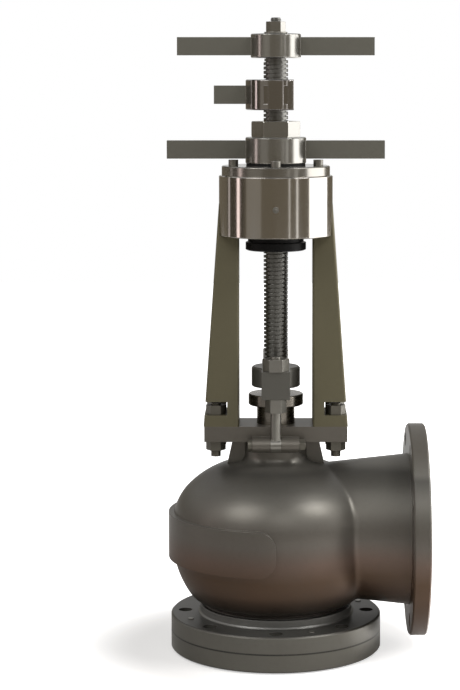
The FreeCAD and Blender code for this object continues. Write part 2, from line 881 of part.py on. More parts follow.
    outlet_hole = sketch_on(body, "YZ_Plane", "outlet_hole_outline", rim_face + s.overcut)
    outlet_hole.AttachmentOffset.Base = V(0, s.outlet_height.value, (rim_face + s.overcut).value)
    outlet_hole.setExpression(".AttachmentOffset.Base.y", s.outlet_height.words)
    half_step = 180 / s.bolt_hole_count
    draw_circle(
        outlet_hole,
        s.bolt_circle_radius * cosine(half_step),
        s.bolt_circle_radius * sine(half_step),
        s.bolt_hole_radius,
    )
    hole = extrude(body, outlet_hole, "outlet_hole", s.outlet_flange_thickness + 2 * s.overcut, cut=True)
    repeat_around(body, hole, "outlet_holes", s.bolt_hole_count, outlet_hole, "N_Axis")

    stud_holes = sketch_on(body, "XY_Plane", "stud_hole_outline", s.plate_top + s.overcut)
    for x, y in stud_places(s):
        draw_circle(stud_holes, x, y, s.stud_radius + s.seat_gap)
    last = extrude(body, stud_holes, "stud_holes", s.plate_thickness + 2 * s.overcut, cut=True)
    body.Tip = last
    return body


def stud_places(s):
    """Where the four studs stand that clamp the legs to the plate."""
    return [
        (side * s.stud_offset, way * s.stud_spacing / 2)
        for side in (-1, 1)
        for way in (-1, 1)
    ]


def make_seat_flange(doc, s):
    """The lower flange, which carries the seat ring and takes the inlet pipe's bolts."""
    top = s.seat_flange_thickness
    body = turned(doc, "seat_flange", [
        (s.line_bore_radius, 0),
        (s.raised_face_radius, 0),
        (s.raised_face_radius, s.raised_face_height),
        (s.flange_radius - s.flange_edge, s.raised_face_height),
        (s.flange_radius, s.raised_face_height + s.flange_edge),
        (s.flange_radius, top),
        (s.seat_bore_radius, top),
        (s.seat_bore_radius, top / 2),
    ])
    holes = sketch_on(body, "XY_Plane", "line_hole_outline", top + s.overcut)
    draw_circle(holes, s.bolt_circle_radius, 0, s.bolt_hole_radius)
    hole = extrude(body, holes, "line_hole", top + 2 * s.overcut, cut=True)
    repeat_around(body, hole, "line_holes", s.bolt_hole_count, holes, "N_Axis")
    sinks = sketch_on(body, "XZ_Plane", "screw_sink_outline")
    draw_outline(sinks, [
        (s.bolt_circle_radius, s.raised_face_height - s.overcut),
        (s.bolt_circle_radius + sink_reach(s) + s.overcut, s.raised_face_height - s.overcut),
        (s.bolt_circle_radius + s.seat_screw_radius + s.close_gap, s.raised_face_height + sink_depth(s)),
        (s.bolt_circle_radius + s.seat_screw_radius + s.close_gap, top + s.overcut),
        (s.bolt_circle_radius, top + s.overcut),
    ])
    sinks.AttachmentOffset = FreeCAD.Placement(V(), FreeCAD.Rotation(V(0, 1, 0), s.seat_screw_turn.value))
    sinks.setExpression(".AttachmentOffset.Rotation.Angle", s.seat_screw_turn.words)
    draw_axis(sinks, (s.bolt_circle_radius, 0), (s.bolt_circle_radius, top))
    sink = revolve(body, sinks, "screw_sink", cut=True, axis="Axis0")
    repeat_around(body, sink, "screw_sinks", s.seat_screw_count, holes, "N_Axis")
    return body


def sink_reach(s):
    """The countersink's radius at the flange's face."""
    return s.seat_screw_head_radius + s.close_gap


def sink_depth(s):
    return s.seat_screw_head_radius - s.seat_screw_radius


def make_seat_screws(doc, s):
    """Countersunk screws that hold the seat flange on the body when no pipe is bolted up."""
    screws = []
    for number in range(int(s.seat_screw_count.value)):
        turn = s.seat_screw_turn + number * 360 / s.seat_screw_count
        x = s.bolt_circle_radius * cosine(turn)
        y = s.bolt_circle_radius * sine(turn)
        shank_length = s.flange_top + s.seat_screw_stand - s.raised_face_height
        shank = cylinder(
            doc, f"seat_screw_shank_{number}", s.seat_screw_radius, shank_length,
            (x, y, s.raised_face_height),
        )
        head = cone(
            doc, f"seat_screw_head_{number}", s.seat_screw_head_radius, s.seat_screw_radius,
            sink_depth(s), (x, y, s.raised_face_height),
        )
        screws.append(join(doc, f"seat_screw_{number}", [shank, head]))
    return group(doc, "seat_flange_screws", screws)


def make_seat_ring(doc, s):
    """The hard seat ring, clamped between the body and the seat flange."""
    low = s.seat_flange_thickness
    rim_top = low + s.seat_recess_depth - s.gasket_thickness
    return turned(doc, "seat_ring", [
        (s.seat_bore_radius, low),
        (s.seat_recess_radius - s.seat_gap, low),
        (s.seat_recess_radius - s.seat_gap, rim_top),
        (s.seat_pocket_radius - s.seat_gap, rim_top),
        (s.seat_pocket_radius - s.seat_gap, s.seat_top),
        (s.seat_bore_radius + s.seat_face_width, s.seat_top),
        (s.seat_bore_radius, s.seat_top - s.seat_face_width),
    ])


def make_seat_gasket(doc, s):
    top = s.seat_flange_thickness + s.seat_recess_depth
    return turned(doc, "seat_gasket", [
        (s.seat_pocket_radius + s.gasket_edge, top - s.gasket_thickness),
        (s.seat_recess_radius - s.gasket_edge, top - s.gasket_thickness),
        (s.seat_recess_radius - s.gasket_edge, top),
        (s.seat_pocket_radius + s.gasket_edge, top),
    ])


def make_plug(doc, s):
    """The plug, whose cone closes on the seat ring from above."""
    cone_rise = s.seat_top - s.seat_face_width - s.seat_bore_radius + s.seat_gap * math.sqrt(2)
    skirt_low = s.plug_radius + cone_rise
    lip_top = s.plug_low + s.plug_lip
    lip = lip_top - cone_rise
    boss_low = s.plug_top - s.plug_boss_height
    body = turned(doc, "plug", [
        (0, s.plug_low),
        (lip - s.plug_lip_width, s.plug_low),
        (lip, lip_top),
        (s.plug_radius, skirt_low),
        (s.plug_radius, skirt_low + s.plug_skirt),
        (s.plug_boss_radius + s.plug_foot_width, boss_low - s.small_edge),
        (s.plug_boss_radius, boss_low),
        (s.plug_boss_radius, s.plug_top),
        (s.stem_radius + s.close_gap, s.plug_top),
        (s.stem_radius + s.close_gap, s.stem_low),
        (0, s.stem_low),
    ])
    hole = sketch_on(body, "YZ_Plane", "plug_pin_hole_outline")
    draw_circle(hole, 0, s.plug_pin_height, s.plug_pin_radius + s.close_gap)
    extrude(body, hole, "plug_pin_hole", 2 * (s.plug_boss_radius + s.overcut), cut=True, both_ways=True)
    return body


def make_plug_pin(doc, s):
    reach = s.plug_boss_radius - s.seat_gap
    pin = cylinder(
        doc, "plug_pin", s.plug_pin_radius, 2 * reach, (-reach, 0, s.plug_pin_height), "X"
    )
    pin.Label = "plug_pin"
    return pin


def make_stem(doc, s):
    """The stem: threaded through the stem nut, with a seat and a stud end for the top handle."""
    body = turned(doc, "stem", [
        (0, s.stem_low),
        (s.stem_radius - s.small_edge, s.stem_low),
        (s.stem_radius, s.stem_low + s.small_edge),
        (s.stem_radius, s.stem_shoulder),
        (s.stem_seat_radius, s.stem_shoulder),
        (s.stem_seat_radius, s.stem_seat_top),
        (s.stem_end_radius, s.stem_seat_top),
        (s.stem_end_radius, s.stem_top - s.small_edge),
        (s.stem_end_radius - s.small_edge, s.stem_top),
        (0, s.stem_top),
    ])
    hole = sketch_on(body, "YZ_Plane", "stem_pin_hole_outline")
    draw_circle(hole, 0, s.plug_pin_height, s.plug_pin_radius + s.close_gap)
    extrude(body, hole, "stem_pin_hole", 2 * (s.stem_radius + s.overcut), cut=True, both_ways=True)
    cut_keyway(body, "top", s, s.stem_seat_radius, s.stem_shoulder, s.top_hub_height - s.top_hub_short)
    return body


def cut_keyway(body, name, s, radius, low, height):
    """A keyway on the far side of a shaft or in a hub's bore."""
    sketch = sketch_on(body, "XY_Plane", f"{name}_keyway_outline", low + height)
    half = s.key_width / 2 + s.close_gap
    draw_rectangle(
        sketch, (-half, radius - s.key_depth), (half, radius + s.key_depth)
    )
    return extrude(body, sketch, f"{name}_keyway", height, cut=True)


def make_key(doc, name, s, radius, low, height):
    key = doc.addObject("Part::Box", name)
    bind(key, "Length", s.key_width)
    bind(key, "Width", 2 * s.key_depth - 2 * s.close_gap)
    bind(key, "Height", height)
    place(key, (-s.key_width / 2, radius - s.key_depth + s.close_gap, low))
    key.Label = name
    return key


def make_stuffing_box(doc, s):
    """The throat bush and the packing rings round the stem."""
    outer = s.box_radius - s.running_gap
    inner = s.stem_radius + s.running_gap
    bush_top = s.packing_low
    bush = turned(doc, "throat_bush", [
        (inner, s.box_floor),
        (outer, s.box_floor),
        (outer, bush_top),
        (inner, bush_top),
    ])
    rings = []
    for number in range(int(s.packing_ring_count.value)):
        low = bush_top + number * s.packing_ring_height
        ring = cylinder(doc, f"packing_outside_{number}", outer, s.packing_ring_height, (0, 0, low))
        hole = cylinder(doc, f"packing_inside_{number}", inner, s.packing_ring_height, (0, 0, low))
        rings.append(take_away(doc, f"packing_ring_{number}", ring, hole))
    return [bush, group(doc, "packing_rings", rings)]


def make_gland(doc, s):
    """The follower, the gland bar across it, and the swing eyebolts with their nuts."""
    inner = s.stem_radius + s.seat_gap
    bush = s.box_radius - s.running_gap
    edge = s.small_edge
    follower = turned(doc, "gland_follower", [
        (inner, s.packing_top),
        (bush, s.packing_top),
        (bush, s.follower_flange_low),
        (s.follower_radius - edge, s.follower_flange_low),
        (s.follower_radius, s.follower_flange_low + edge),
        (s.follower_radius, s.gland_bar_low - edge),
        (s.follower_radius - edge, s.gland_bar_low),
        (inner, s.gland_bar_low),
    ])
    boss_low = s.gland_top - s.gland_boss_height
    bore = inner + s.gland_bore_step
    plate = turned(doc, "gland_plate", [
        (bore, boss_low),
        (s.gland_boss_radius - edge, boss_low),
        (s.gland_boss_radius, boss_low + edge),
        (s.gland_boss_radius, s.gland_top - 2 * edge),
        (s.gland_boss_radius - 2 * edge, s.gland_top),
        (bore, s.gland_top),
    ])
    bar = sketch_on(plate, "XY_Plane", "gland_bar_outline", s.gland_bar_low)
    draw_rectangle(
        bar,
        (-s.gland_bar_half_width, -s.gland_bar_reach),
        (s.gland_bar_half_width, s.gland_bar_reach),
    )
    extrude(plate, bar, "gland_bar", s.gland_bar_height)
    holes = sketch_on(plate, "XY_Plane", "gland_hole_outline", s.gland_top + s.overcut)
    draw_circle(holes, 0, 0, bore)
    for way in (1, -1):
        draw_circle(holes, 0, way * s.eyebolt_offset, s.eyebolt_radius + s.eyebolt_clearance)
    extrude(plate, holes, "gland_holes", s.gland_bar_height + 2 * s.overcut, cut=True)

    bolts, pins, pin_nuts, nuts, jam_nuts = [], [], [], [], []
    for number, way in enumerate((-1, 1)):
        y = way * s.eyebolt_offset
        eye_half = s.eye_gap / 2 - s.seat_gap
        eye = cylinder(
            doc, f"eye_{number}", s.eye_radius, 2 * eye_half, (-eye_half, y, s.eye_height), "X"
        )
        rod = cylinder(
            doc, f"eyebolt_rod_{number}", s.eyebolt_radius, s.eyebolt_top - s.eye_height,
            (0, y, s.eye_height),
        )
        hole = cylinder(
            doc, f"eye_hole_{number}", s.pin_radius + s.close_gap, 2 * s.eye_radius,
            (-s.eye_radius, y, s.eye_height), "X",
        )
        joined = join(doc, f"eye_and_rod_{number}", [eye, rod])
        bolts.append(take_away(doc, f"eyebolt_{number}", joined, hole))

        head_start = s.ear_half_span + s.pin_head_length
        shank = cylinder(
            doc, f"pin_shank_{number}", s.pin_radius, 2 * head_start + s.pin_tip,
            (-head_start, y, s.eye_height), "X",
        )
        head = cylinder(
            doc, f"pin_head_{number}", s.pin_head_radius, s.pin_head_length,
            (-head_start, y, s.eye_height), "X",
        )
        pins.append(join(doc, f"eyebolt_pin_{number}", [shank, head]))
        pin_nuts.append(hex_nut(
            doc, s, f"pin_nut_{number}", s.pin_nut_flats, s.pin_nut_length,
            s.pin_radius + s.close_gap, (s.ear_half_span, y, s.eye_height), "X",
        ))
        nuts.append(hex_nut(
            doc, s, f"gland_nut_{number}", s.gland_nut_flats, s.gland_nut_height,
            s.eyebolt_radius + s.close_gap, (0, y, s.gland_top),
        ))
        jam_nuts.append(hex_nut(
            doc, s, f"jam_nut_{number}", s.jam_nut_flats, s.jam_nut_height,
            s.eyebolt_radius + s.close_gap, (0, y, s.gland_bar_low - s.jam_nut_height),
        ))
    return [
        follower,
        plate,
        group(doc, "gland_eyebolts", bolts),
        group(doc, "eyebolt_pins", pins),
        group(doc, "eyebolt_pin_nuts", pin_nuts),
        group(doc, "gland_nuts", nuts),
        group(doc, "gland_jam_nuts", jam_nuts),
    ]


def make_leg(doc, s, side, name):
    """One tapered yoke leg, with a window for its clamping nuts above the foot."""
    body = new_body(doc, name)
    foot_low = s.plate_top
    side_view = sketch_on(body, "XZ_Plane", f"{name}_side_outline")
    draw_outline(side_view, [
        (side * s.leg_inner, foot_low),
        (side * s.leg_foot_outer, foot_low),
        (side * s.leg_head_outer, s.leg_head_height),
        (side * s.leg_inner, s.leg_head_height),
    ])
    extrude(body, side_view, f"{name}_block", 2 * s.plate_half_depth, both_ways=True)
    taper = sketch_on(body, "YZ_Plane", f"{name}_taper_outline")
    for way in (-1, 1):
        draw_outline(taper, [
            (way * s.plate_half_depth, foot_low),
            (way * (s.plate_half_depth + s.overcut), foot_low),
            (way * (s.plate_half_depth + s.overcut), s.leg_head_height + s.overcut),
            (way * s.leg_head_half_depth, s.leg_head_height + s.overcut),
        ])
    block = extrude(
        body, taper, f"{name}_taper", 2 * (s.leg_foot_outer + s.overcut), cut=True, both_ways=True
    )
    round_edges(
        body, block, f"{name}_edges", s.leg_edge,
        lambda edge: edge.BoundBox.ZLength > s.yoke_height.value,
    )
    window = sketch_on(body, "XZ_Plane", f"{name}_window_outline")
    draw_rectangle(
        window,
        (side * s.window_inner, s.foot_top),
        (side * (s.leg_foot_outer + s.overcut), s.foot_top + s.window_height),
    )
    extrude(
        body, window, f"{name}_window", 2 * (s.plate_half_depth + s.overcut), cut=True,
        both_ways=True,
    )
    seat = sketch_on(body, "XZ_Plane", f"{name}_housing_outline")
    draw_rectangle(
        seat, (0, s.housing_low), (s.housing_radius + s.running_gap, s.leg_head_height + s.overcut)
    )
    revolve(body, seat, f"{name}_housing_seat", cut=True)
    holes = sketch_on(body, "XY_Plane", f"{name}_stud_outline", s.foot_top + s.overcut)
    for way in (-1, 1):
        draw_circle(
            holes, side * s.stud_offset, way * s.stud_spacing / 2, s.stud_radius + s.seat_gap
        )
    extrude(body, holes, f"{name}_stud_holes", s.foot_thickness + 2 * s.overcut, cut=True)
    return body


def make_studs(doc, s):
    """The studs and nuts that clamp the legs' feet to the plate."""
    studs, upper, lower = [], [], []
    for number, (x, y) in enumerate(stud_places(s)):
        studs.append(cylinder(
            doc, f"leg_stud_{number}", s.stud_radius, s.stud_top - s.stud_low, (x, y, s.stud_low)
        ))
        bore = s.stud_radius + s.close_gap
        upper.append(hex_nut(
            doc, s, f"leg_upper_nut_{number}", s.stud_nut_flats, s.stud_nut_height, bore,
            (x, y, s.foot_top),
        ))
        lower.append(hex_nut(
            doc, s, f"leg_lower_nut_{number}", s.stud_nut_flats, s.stud_nut_height, bore,
            (x, y, s.plate_height - s.stud_nut_height),
        ))
    return [
        group(doc, "leg_studs", studs),
        group(doc, "leg_upper_nuts", upper),
        group(doc, "leg_lower_nuts", lower),
    ]


def make_bearing_housing(doc, s):
    """The housing for the stem nut's thrust bearings, with its cap, screws and seals."""
    low = s.housing_low
    top = s.housing_top
    edge = s.small_edge
    housing = turned(doc, "bearing_housing", [
        (s.housing_throat_radius, low),
        (s.housing_radius - edge, low),
        (s.housing_radius, low + edge),
        (s.housing_radius, top - edge),
        (s.housing_radius - edge, top),
        (s.housing_bore_radius, top),
        (s.housing_bore_radius, low + s.housing_floor),
        (s.housing_throat_radius, low + s.housing_floor),
    ])
    cut_screw_holes(
        housing, "housing", s, top + s.overcut, s.cap_screw_depth + s.overcut, s.close_gap
    )
    port = sketch_on(housing, "XZ_Plane", "grease_port_outline", -s.housing_radius - s.overcut)
    draw_circle(port, 0, s.nipple_height, s.nipple_radius + s.close_gap)
    extrude(housing, port, "grease_port", s.housing_wall + s.overcut, cut=True)

    spigot = s.housing_bore_radius - s.running_gap
    shaft_hole = s.nut_shaft_radius + s.seat_gap
    seal_low = s.cap_top - s.seal_height
    cap = turned(doc, "housing_cap", [
        (shaft_hole, cap_spigot_low(s)),
        (spigot, cap_spigot_low(s)),
        (spigot, top),
        (s.cap_radius, top),
        (s.cap_radius, s.cap_top - edge),
        (s.cap_radius - edge, s.cap_top),
        (s.seal_radius, s.cap_top),
        (s.seal_radius, seal_low),
        (shaft_hole, seal_low),
    ])
    cut_screw_holes(
        cap, "cap", s, s.cap_top + s.overcut, s.cap_thickness + 2 * s.overcut, s.seat_gap
    )
    seal = turned(doc, "shaft_seal", [
        (s.nut_shaft_radius + s.running_gap, seal_low),
        (s.seal_radius - s.close_gap, seal_low),
        (s.seal_radius - s.close_gap, s.cap_top),
        (s.nut_shaft_radius + s.seal_lip_width, s.cap_top),
        (s.nut_shaft_radius + s.seal_lip_width, s.cap_top + s.seal_lip_height),
        (s.nut_shaft_radius + s.running_gap, s.cap_top + s.seal_lip_height),
    ])
    band_top = s.dust_ring_low + s.dust_ring_band
    dust_ring = turned(doc, "dust_ring", [
        (s.stem_radius + s.dust_ring_bore_gap, s.dust_ring_low),
        (s.dust_ring_radius - 2 * edge, s.dust_ring_low),
        (s.dust_ring_radius, s.dust_ring_low + edge),
        (s.dust_ring_radius, band_top),
        (s.dust_ring_waist, band_top + edge),
        (s.dust_ring_waist, low + s.housing_floor / 2),
        (s.nut_shaft_radius + s.seat_gap, low + s.housing_floor / 2),
        (s.nut_shaft_radius + s.seat_gap, s.nut_low - s.dust_ring_sill),
        (s.stem_radius + s.dust_ring_bore_gap, s.nut_low - s.dust_ring_sill),
    ])
    screws = []
    for number, (x, y) in enumerate(cap_screw_places(s)):
        base = (x, y, s.cap_top)
        head = cylinder(
            doc, f"cap_screw_head_{number}", s.cap_screw_head_radius, s.cap_screw_head_height, base
        )
        shank_length = s.cap_thickness + s.cap_screw_depth - s.overcut
        shank = cylinder(
            doc, f"cap_screw_shank_{number}", s.cap_screw_radius, shank_length,
            (x, y, s.cap_top - shank_length),
        )
        solid = join(doc, f"cap_screw_solid_{number}", [head, shank])
        socket = doc.addObject("Part::Prism", f"cap_screw_socket_{number}")
        socket.Polygon = 6
        bind(socket, "Circumradius", s.cap_screw_head_radius / 2)
        bind(socket, "Height", s.cap_screw_head_height / 2)
        place(socket, (x, y, s.cap_top + s.cap_screw_head_height / 2))
        screws.append(take_away(doc, f"cap_screw_{number}", solid, socket))

    nipple_base = -s.housing_radius
    stem_piece = cylinder(
        doc, "nipple_shank", s.nipple_radius, s.nipple_depth, (0, nipple_base, s.nipple_height), "Y"
    )
    collar = cylinder(
        doc, "nipple_collar", s.nipple_radius + s.nipple_collar / 2, s.nipple_collar,
        (0, nipple_base - s.nipple_collar, s.nipple_height), "Y",
    )
    tip = cylinder(
        doc, "nipple_tip", s.nipple_radius / 2, s.nipple_stand,
        (0, nipple_base - s.nipple_stand, s.nipple_height), "Y",
    )
    nipple = join(doc, "grease_nipple", [stem_piece, collar, tip])
    nipple.Label = "grease_nipple"
    return [housing, cap, seal, dust_ring, group(doc, "cap_screws", screws), nipple]


def cap_screw_places(s):
    circle = s.cap_screw_circle
    return [(circle, 0), (0, circle), (-circle, 0), (0, -circle)]


def cut_screw_holes(body, name, s, height, depth, gap):
    sketch = sketch_on(body, "XY_Plane", f"{name}_screw_outline", height)
    for x, y in cap_screw_places(s):
        draw_circle(sketch, x, y, s.cap_screw_radius + gap)
    return extrude(body, sketch, f"{name}_screw_holes", depth, cut=True)


def bearing_heights(s):
    """The thrust bearings' levels: lower washer, collar and upper washer, from below."""
    floor = s.housing_low + s.housing_floor
    stack = 2 * s.washer_thickness + s.roller_race_height
    collar_low = floor + stack
    collar_top = collar_low + s.nut_collar_height
    return floor, collar_low, collar_top, collar_top + stack


def cap_spigot_low(s):
    return bearing_heights(s)[3]


def make_stem_nut(doc, s):
    """The stem nut: it turns between two thrust bearings and drives the stem by its thread."""
    floor, collar_low, collar_top, spigot_low = bearing_heights(s)
    hub_top = s.drive_hub_top
    body = turned(doc, "stem_nut", [
        (s.stem_radius + s.running_gap, s.nut_low),
        (s.nut_shaft_radius - s.small_edge, s.nut_low),
        (s.nut_shaft_radius, s.nut_low + s.small_edge),
        (s.nut_shaft_radius, collar_low),
        (s.nut_collar_radius, collar_low),
        (s.nut_collar_radius, collar_top),
        (s.nut_shaft_radius, collar_top),
        (s.nut_shaft_radius, s.drive_hub_low),
        (s.nut_seat_radius, s.drive_hub_low),
        (s.nut_seat_radius, hub_top),
        (s.nut_thread_radius, hub_top),
        (s.nut_thread_radius, s.nut_top - s.small_edge),
        (s.nut_thread_radius - s.small_edge, s.nut_top),
        (s.stem_radius + s.running_gap, s.nut_top),
    ])
    cut_keyway(body, "drive", s, s.nut_seat_radius, s.drive_hub_low, s.drive_hub_height)
    return body


def make_thrust_bearings(doc, s):
    """Both thrust bearings: a housing washer, a roller set and a shaft washer each."""
    floor, collar_low, collar_top, spigot_low = bearing_heights(s)
    thick = s.washer_thickness
    nodes = []
    for name, housing_low, race_low, shaft_low in (
        ("lower", floor, floor + thick, collar_low - thick),
        ("upper", spigot_low - thick, collar_top + thick, collar_top),
    ):
        outer = s.housing_bore_radius - s.seat_gap
        nodes.append(turned(doc, f"{name}_housing_washer", [
            (s.nut_shaft_radius + s.washer_clearance, housing_low),
            (outer, housing_low),
            (outer, housing_low + thick),
            (s.nut_shaft_radius + s.washer_clearance, housing_low + thick),
        ]))
        nodes.append(turned(doc, f"{name}_shaft_washer", [
            (s.nut_shaft_radius + s.close_gap, shaft_low),
            (s.nut_collar_radius, shaft_low),
            (s.nut_collar_radius, shaft_low + thick),
            (s.nut_shaft_radius + s.close_gap, shaft_low + thick),
        ]))
        nodes.append(make_roller_set(doc, s, name, race_low))
    return nodes


def make_roller_set(doc, s, name, race_low):
    """Radial rollers in a flat cage, midway between the two washers."""
    middle = race_low + s.roller_race_height / 2
    roller_radius = s.roller_race_height / 2 - s.seat_gap / 2
    cage_low = middle - s.cage_thickness / 2
    cage_half = s.roller_length / 2 + s.cage_margin
    rim = cylinder(
        doc, f"{name}_cage_outside", s.roller_circle_radius + cage_half, s.cage_thickness,
        (0, 0, cage_low),
    )
    rollers, pockets = [], []
    count = int(s.roller_count.value)
    for number in range(count):
        angle = number * 360 / s.roller_count
        turn = FreeCAD.Rotation(V(0, 0, 1), angle.value).multiply(TURNS["X"])
        inner = s.roller_circle_radius - s.roller_length / 2
        for kind, radius, start, length, pieces in (
            ("roller", roller_radius, inner, s.roller_length, rollers),
            ("pocket", roller_radius + s.seat_gap, inner - s.seat_gap,
             s.roller_length + 2 * s.seat_gap, pockets),
        ):
            piece = doc.addObject("Part::Cylinder", f"{name}_{kind}_{number}")
            bind(piece, "Radius", radius)
            bind(piece, "Height", length)
            place(piece, (start * cosine(angle), start * sine(angle), middle), turn)
            pieces.append(piece)
    hole = cylinder(
        doc, f"{name}_cage_inside", s.roller_circle_radius - cage_half, s.cage_thickness,
        (0, 0, cage_low),
    )
    cage = take_away(doc, f"{name}_cage", rim, join(doc, f"{name}_pockets", pockets + [hole]))
    return group(doc, f"{name}_roller_set", [cage] + rollers)


def make_handle(doc, s, name, hub_radius, hub_low, hub_height, bore, reach, drop):
    """A handle: a keyed hub with a bar on each side, welded as one piece."""
    body = turned(doc, name, ring_corners(bore, hub_radius, hub_low, hub_low + hub_height, s.small_edge))
    bars = sketch_on(body, "XZ_Plane", f"{name}_bar_outline")
    bar_top = hub_low + hub_height - drop
    draw_rectangle(bars, (-reach, bar_top - s.bar_height), (reach, bar_top))
    extrude(body, bars, f"{name}_bars", s.bar_thickness, both_ways=True)
    hole = sketch_on(body, "XY_Plane", f"{name}_bore_outline", hub_low + hub_height + s.overcut)
    draw_circle(hole, 0, 0, bore)
    extrude(body, hole, f"{name}_bore", hub_height + 2 * s.overcut, cut=True)
    cut_keyway(body, name, s, bore, hub_low, hub_height)
    return body


def make_handles(doc, s):
    """The drive handle on the stem nut and the top handle on the stem, with nuts and keys."""
    hub_top = s.drive_hub_top
    drive = make_handle(
        doc, s, "drive_handle", s.drive_hub_radius, s.drive_hub_low, s.drive_hub_height,
        s.nut_seat_radius + s.close_gap, s.drive_bar_reach, s.drive_bar_drop,
    )
    drive_nut = hex_nut(
        doc, s, "drive_handle_nut", s.drive_nut_flats, s.drive_nut_height,
        s.nut_thread_radius + s.close_gap, (0, 0, hub_top),
    )
    drive_nut.Label = "drive_handle_nut"
    drive_key = make_key(
        doc, "drive_handle_key", s, s.nut_seat_radius, s.drive_hub_low, s.drive_hub_height
    )
    top = make_handle(
        doc, s, "top_handle", s.top_hub_radius, s.stem_shoulder, s.top_hub_height,
        s.stem_seat_radius + s.close_gap, s.top_bar_reach, s.top_bar_drop,
    )
    top_key = make_key(
        doc, "top_handle_key", s, s.stem_seat_radius, s.stem_shoulder, s.top_hub_height - s.top_hub_short
    )
    washer_low = s.top_hub_top
    washer = turned(doc, "top_handle_washer", [
        (s.stem_end_radius + s.seat_gap, washer_low),
        (s.top_washer_radius, washer_low),
        (s.top_washer_radius, washer_low + s.top_washer_thickness),
        (s.stem_end_radius + s.seat_gap, washer_low + s.top_washer_thickness),
    ])
    top_nut = hex_nut(
        doc, s, "top_handle_nut", s.top_nut_flats, s.top_nut_height,
        s.stem_end_radius + s.close_gap, (0, 0, washer_low + s.top_washer_thickness),
    )
    top_nut.Label = "top_handle_nut"
    return [drive, drive_nut, drive_key, top, top_key, washer, top_nut]


def make_lock_lever(doc, s):
    """The lever nut on the stem's thread: a round hub with a side flat, slots and one arm."""
    top = s.lever_top
    bore = s.stem_radius + s.running_gap
    body = turned(
        doc, "lock_lever", ring_corners(bore, s.lever_hub_radius, s.lever_low, top, s.small_edge)
    )
    middle = s.lever_low + s.lever_height / 2
    arm_low = middle - s.lever_arm_height / 2
    arm_top = middle + s.lever_arm_height / 2
    arm = sketch_on(body, "XZ_Plane", "lever_arm_outline")
    draw_rectangle(arm, (-s.lever_arm_reach, arm_low), (-s.stem_radius - s.lever_arm_root, arm_top))
    extrude(body, arm, "lever_arm", s.bar_thickness, both_ways=True)
    flat = sketch_on(body, "XZ_Plane", "lever_flat_outline")
    draw_rectangle(flat, (s.lever_flat, s.lever_low - s.overcut), (s.lever_hub_radius + s.overcut, top + s.overcut))
    extrude(
        body, flat, "lever_side_flat", 2 * (s.lever_hub_radius + s.overcut), cut=True,
        both_ways=True,
    )
    slots = sketch_on(body, "XZ_Plane", "lever_slot_outline", -s.lever_hub_radius - s.overcut)
    for side in (-1, 1):
        draw_rectangle(
            slots,
            (side * s.lever_slot_inner, arm_low),
            (side * (s.lever_slot_inner + s.lever_slot_width), arm_top),
        )
    extrude(body, slots, "lever_slots", s.lever_slot_depth + s.overcut, cut=True)
    return body


def check(doc, nodes):
    """Stops on any feature that failed and on any sub-part without a sound solid."""
    for item in doc.Objects:
        faults = [state for state in item.State if state in ("Invalid", "Error")]
        if faults:
            raise RuntimeError(f"{item.Name} is {faults}")
    for node in nodes:
        if node.Shape.isNull() or not node.Shape.isValid() or not node.Shape.Solids:
            raise RuntimeError(f"{node.Label} has no sound solid")


def main():
    doc = FreeCAD.newDocument("slurry_angle_valve")
    s = Sheet(doc, SIZES)
    work_out(s)
    nodes = [
        make_valve_body(doc, s),
        make_seat_flange(doc, s),
        make_seat_screws(doc, s),
        make_seat_ring(doc, s),
        make_seat_gasket(doc, s),
        make_plug(doc, s),
        make_plug_pin(doc, s),
        make_stem(doc, s),
        make_leg(doc, s, -1, "left_leg"),
        make_leg(doc, s, 1, "right_leg"),
        make_stem_nut(doc, s),
        make_lock_lever(doc, s),
    ]
    nodes += make_stuffing_box(doc, s)
    nodes += make_gland(doc, s)
    nodes += make_studs(doc, s)
    nodes += make_bearing_housing(doc, s)
    nodes += make_thrust_bearings(doc, s)
    nodes += make_handles(doc, s)
    doc.recompute()
    check(doc, nodes)
    os.makedirs("parts", exist_ok=True)
    for node in nodes:
        node.Shape.exportStep(f"parts/{node.Label}.step")
        print(node.Label, len(node.Shape.Solids), round(node.Shape.Volume))


main()
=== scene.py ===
"""Looks for a flanged slurry angle valve: dressed pieces, finishes, studio and camera."""

import logging
import math
from dataclasses import dataclass, replace
from enum import Enum
from typing import ClassVar, Iterable

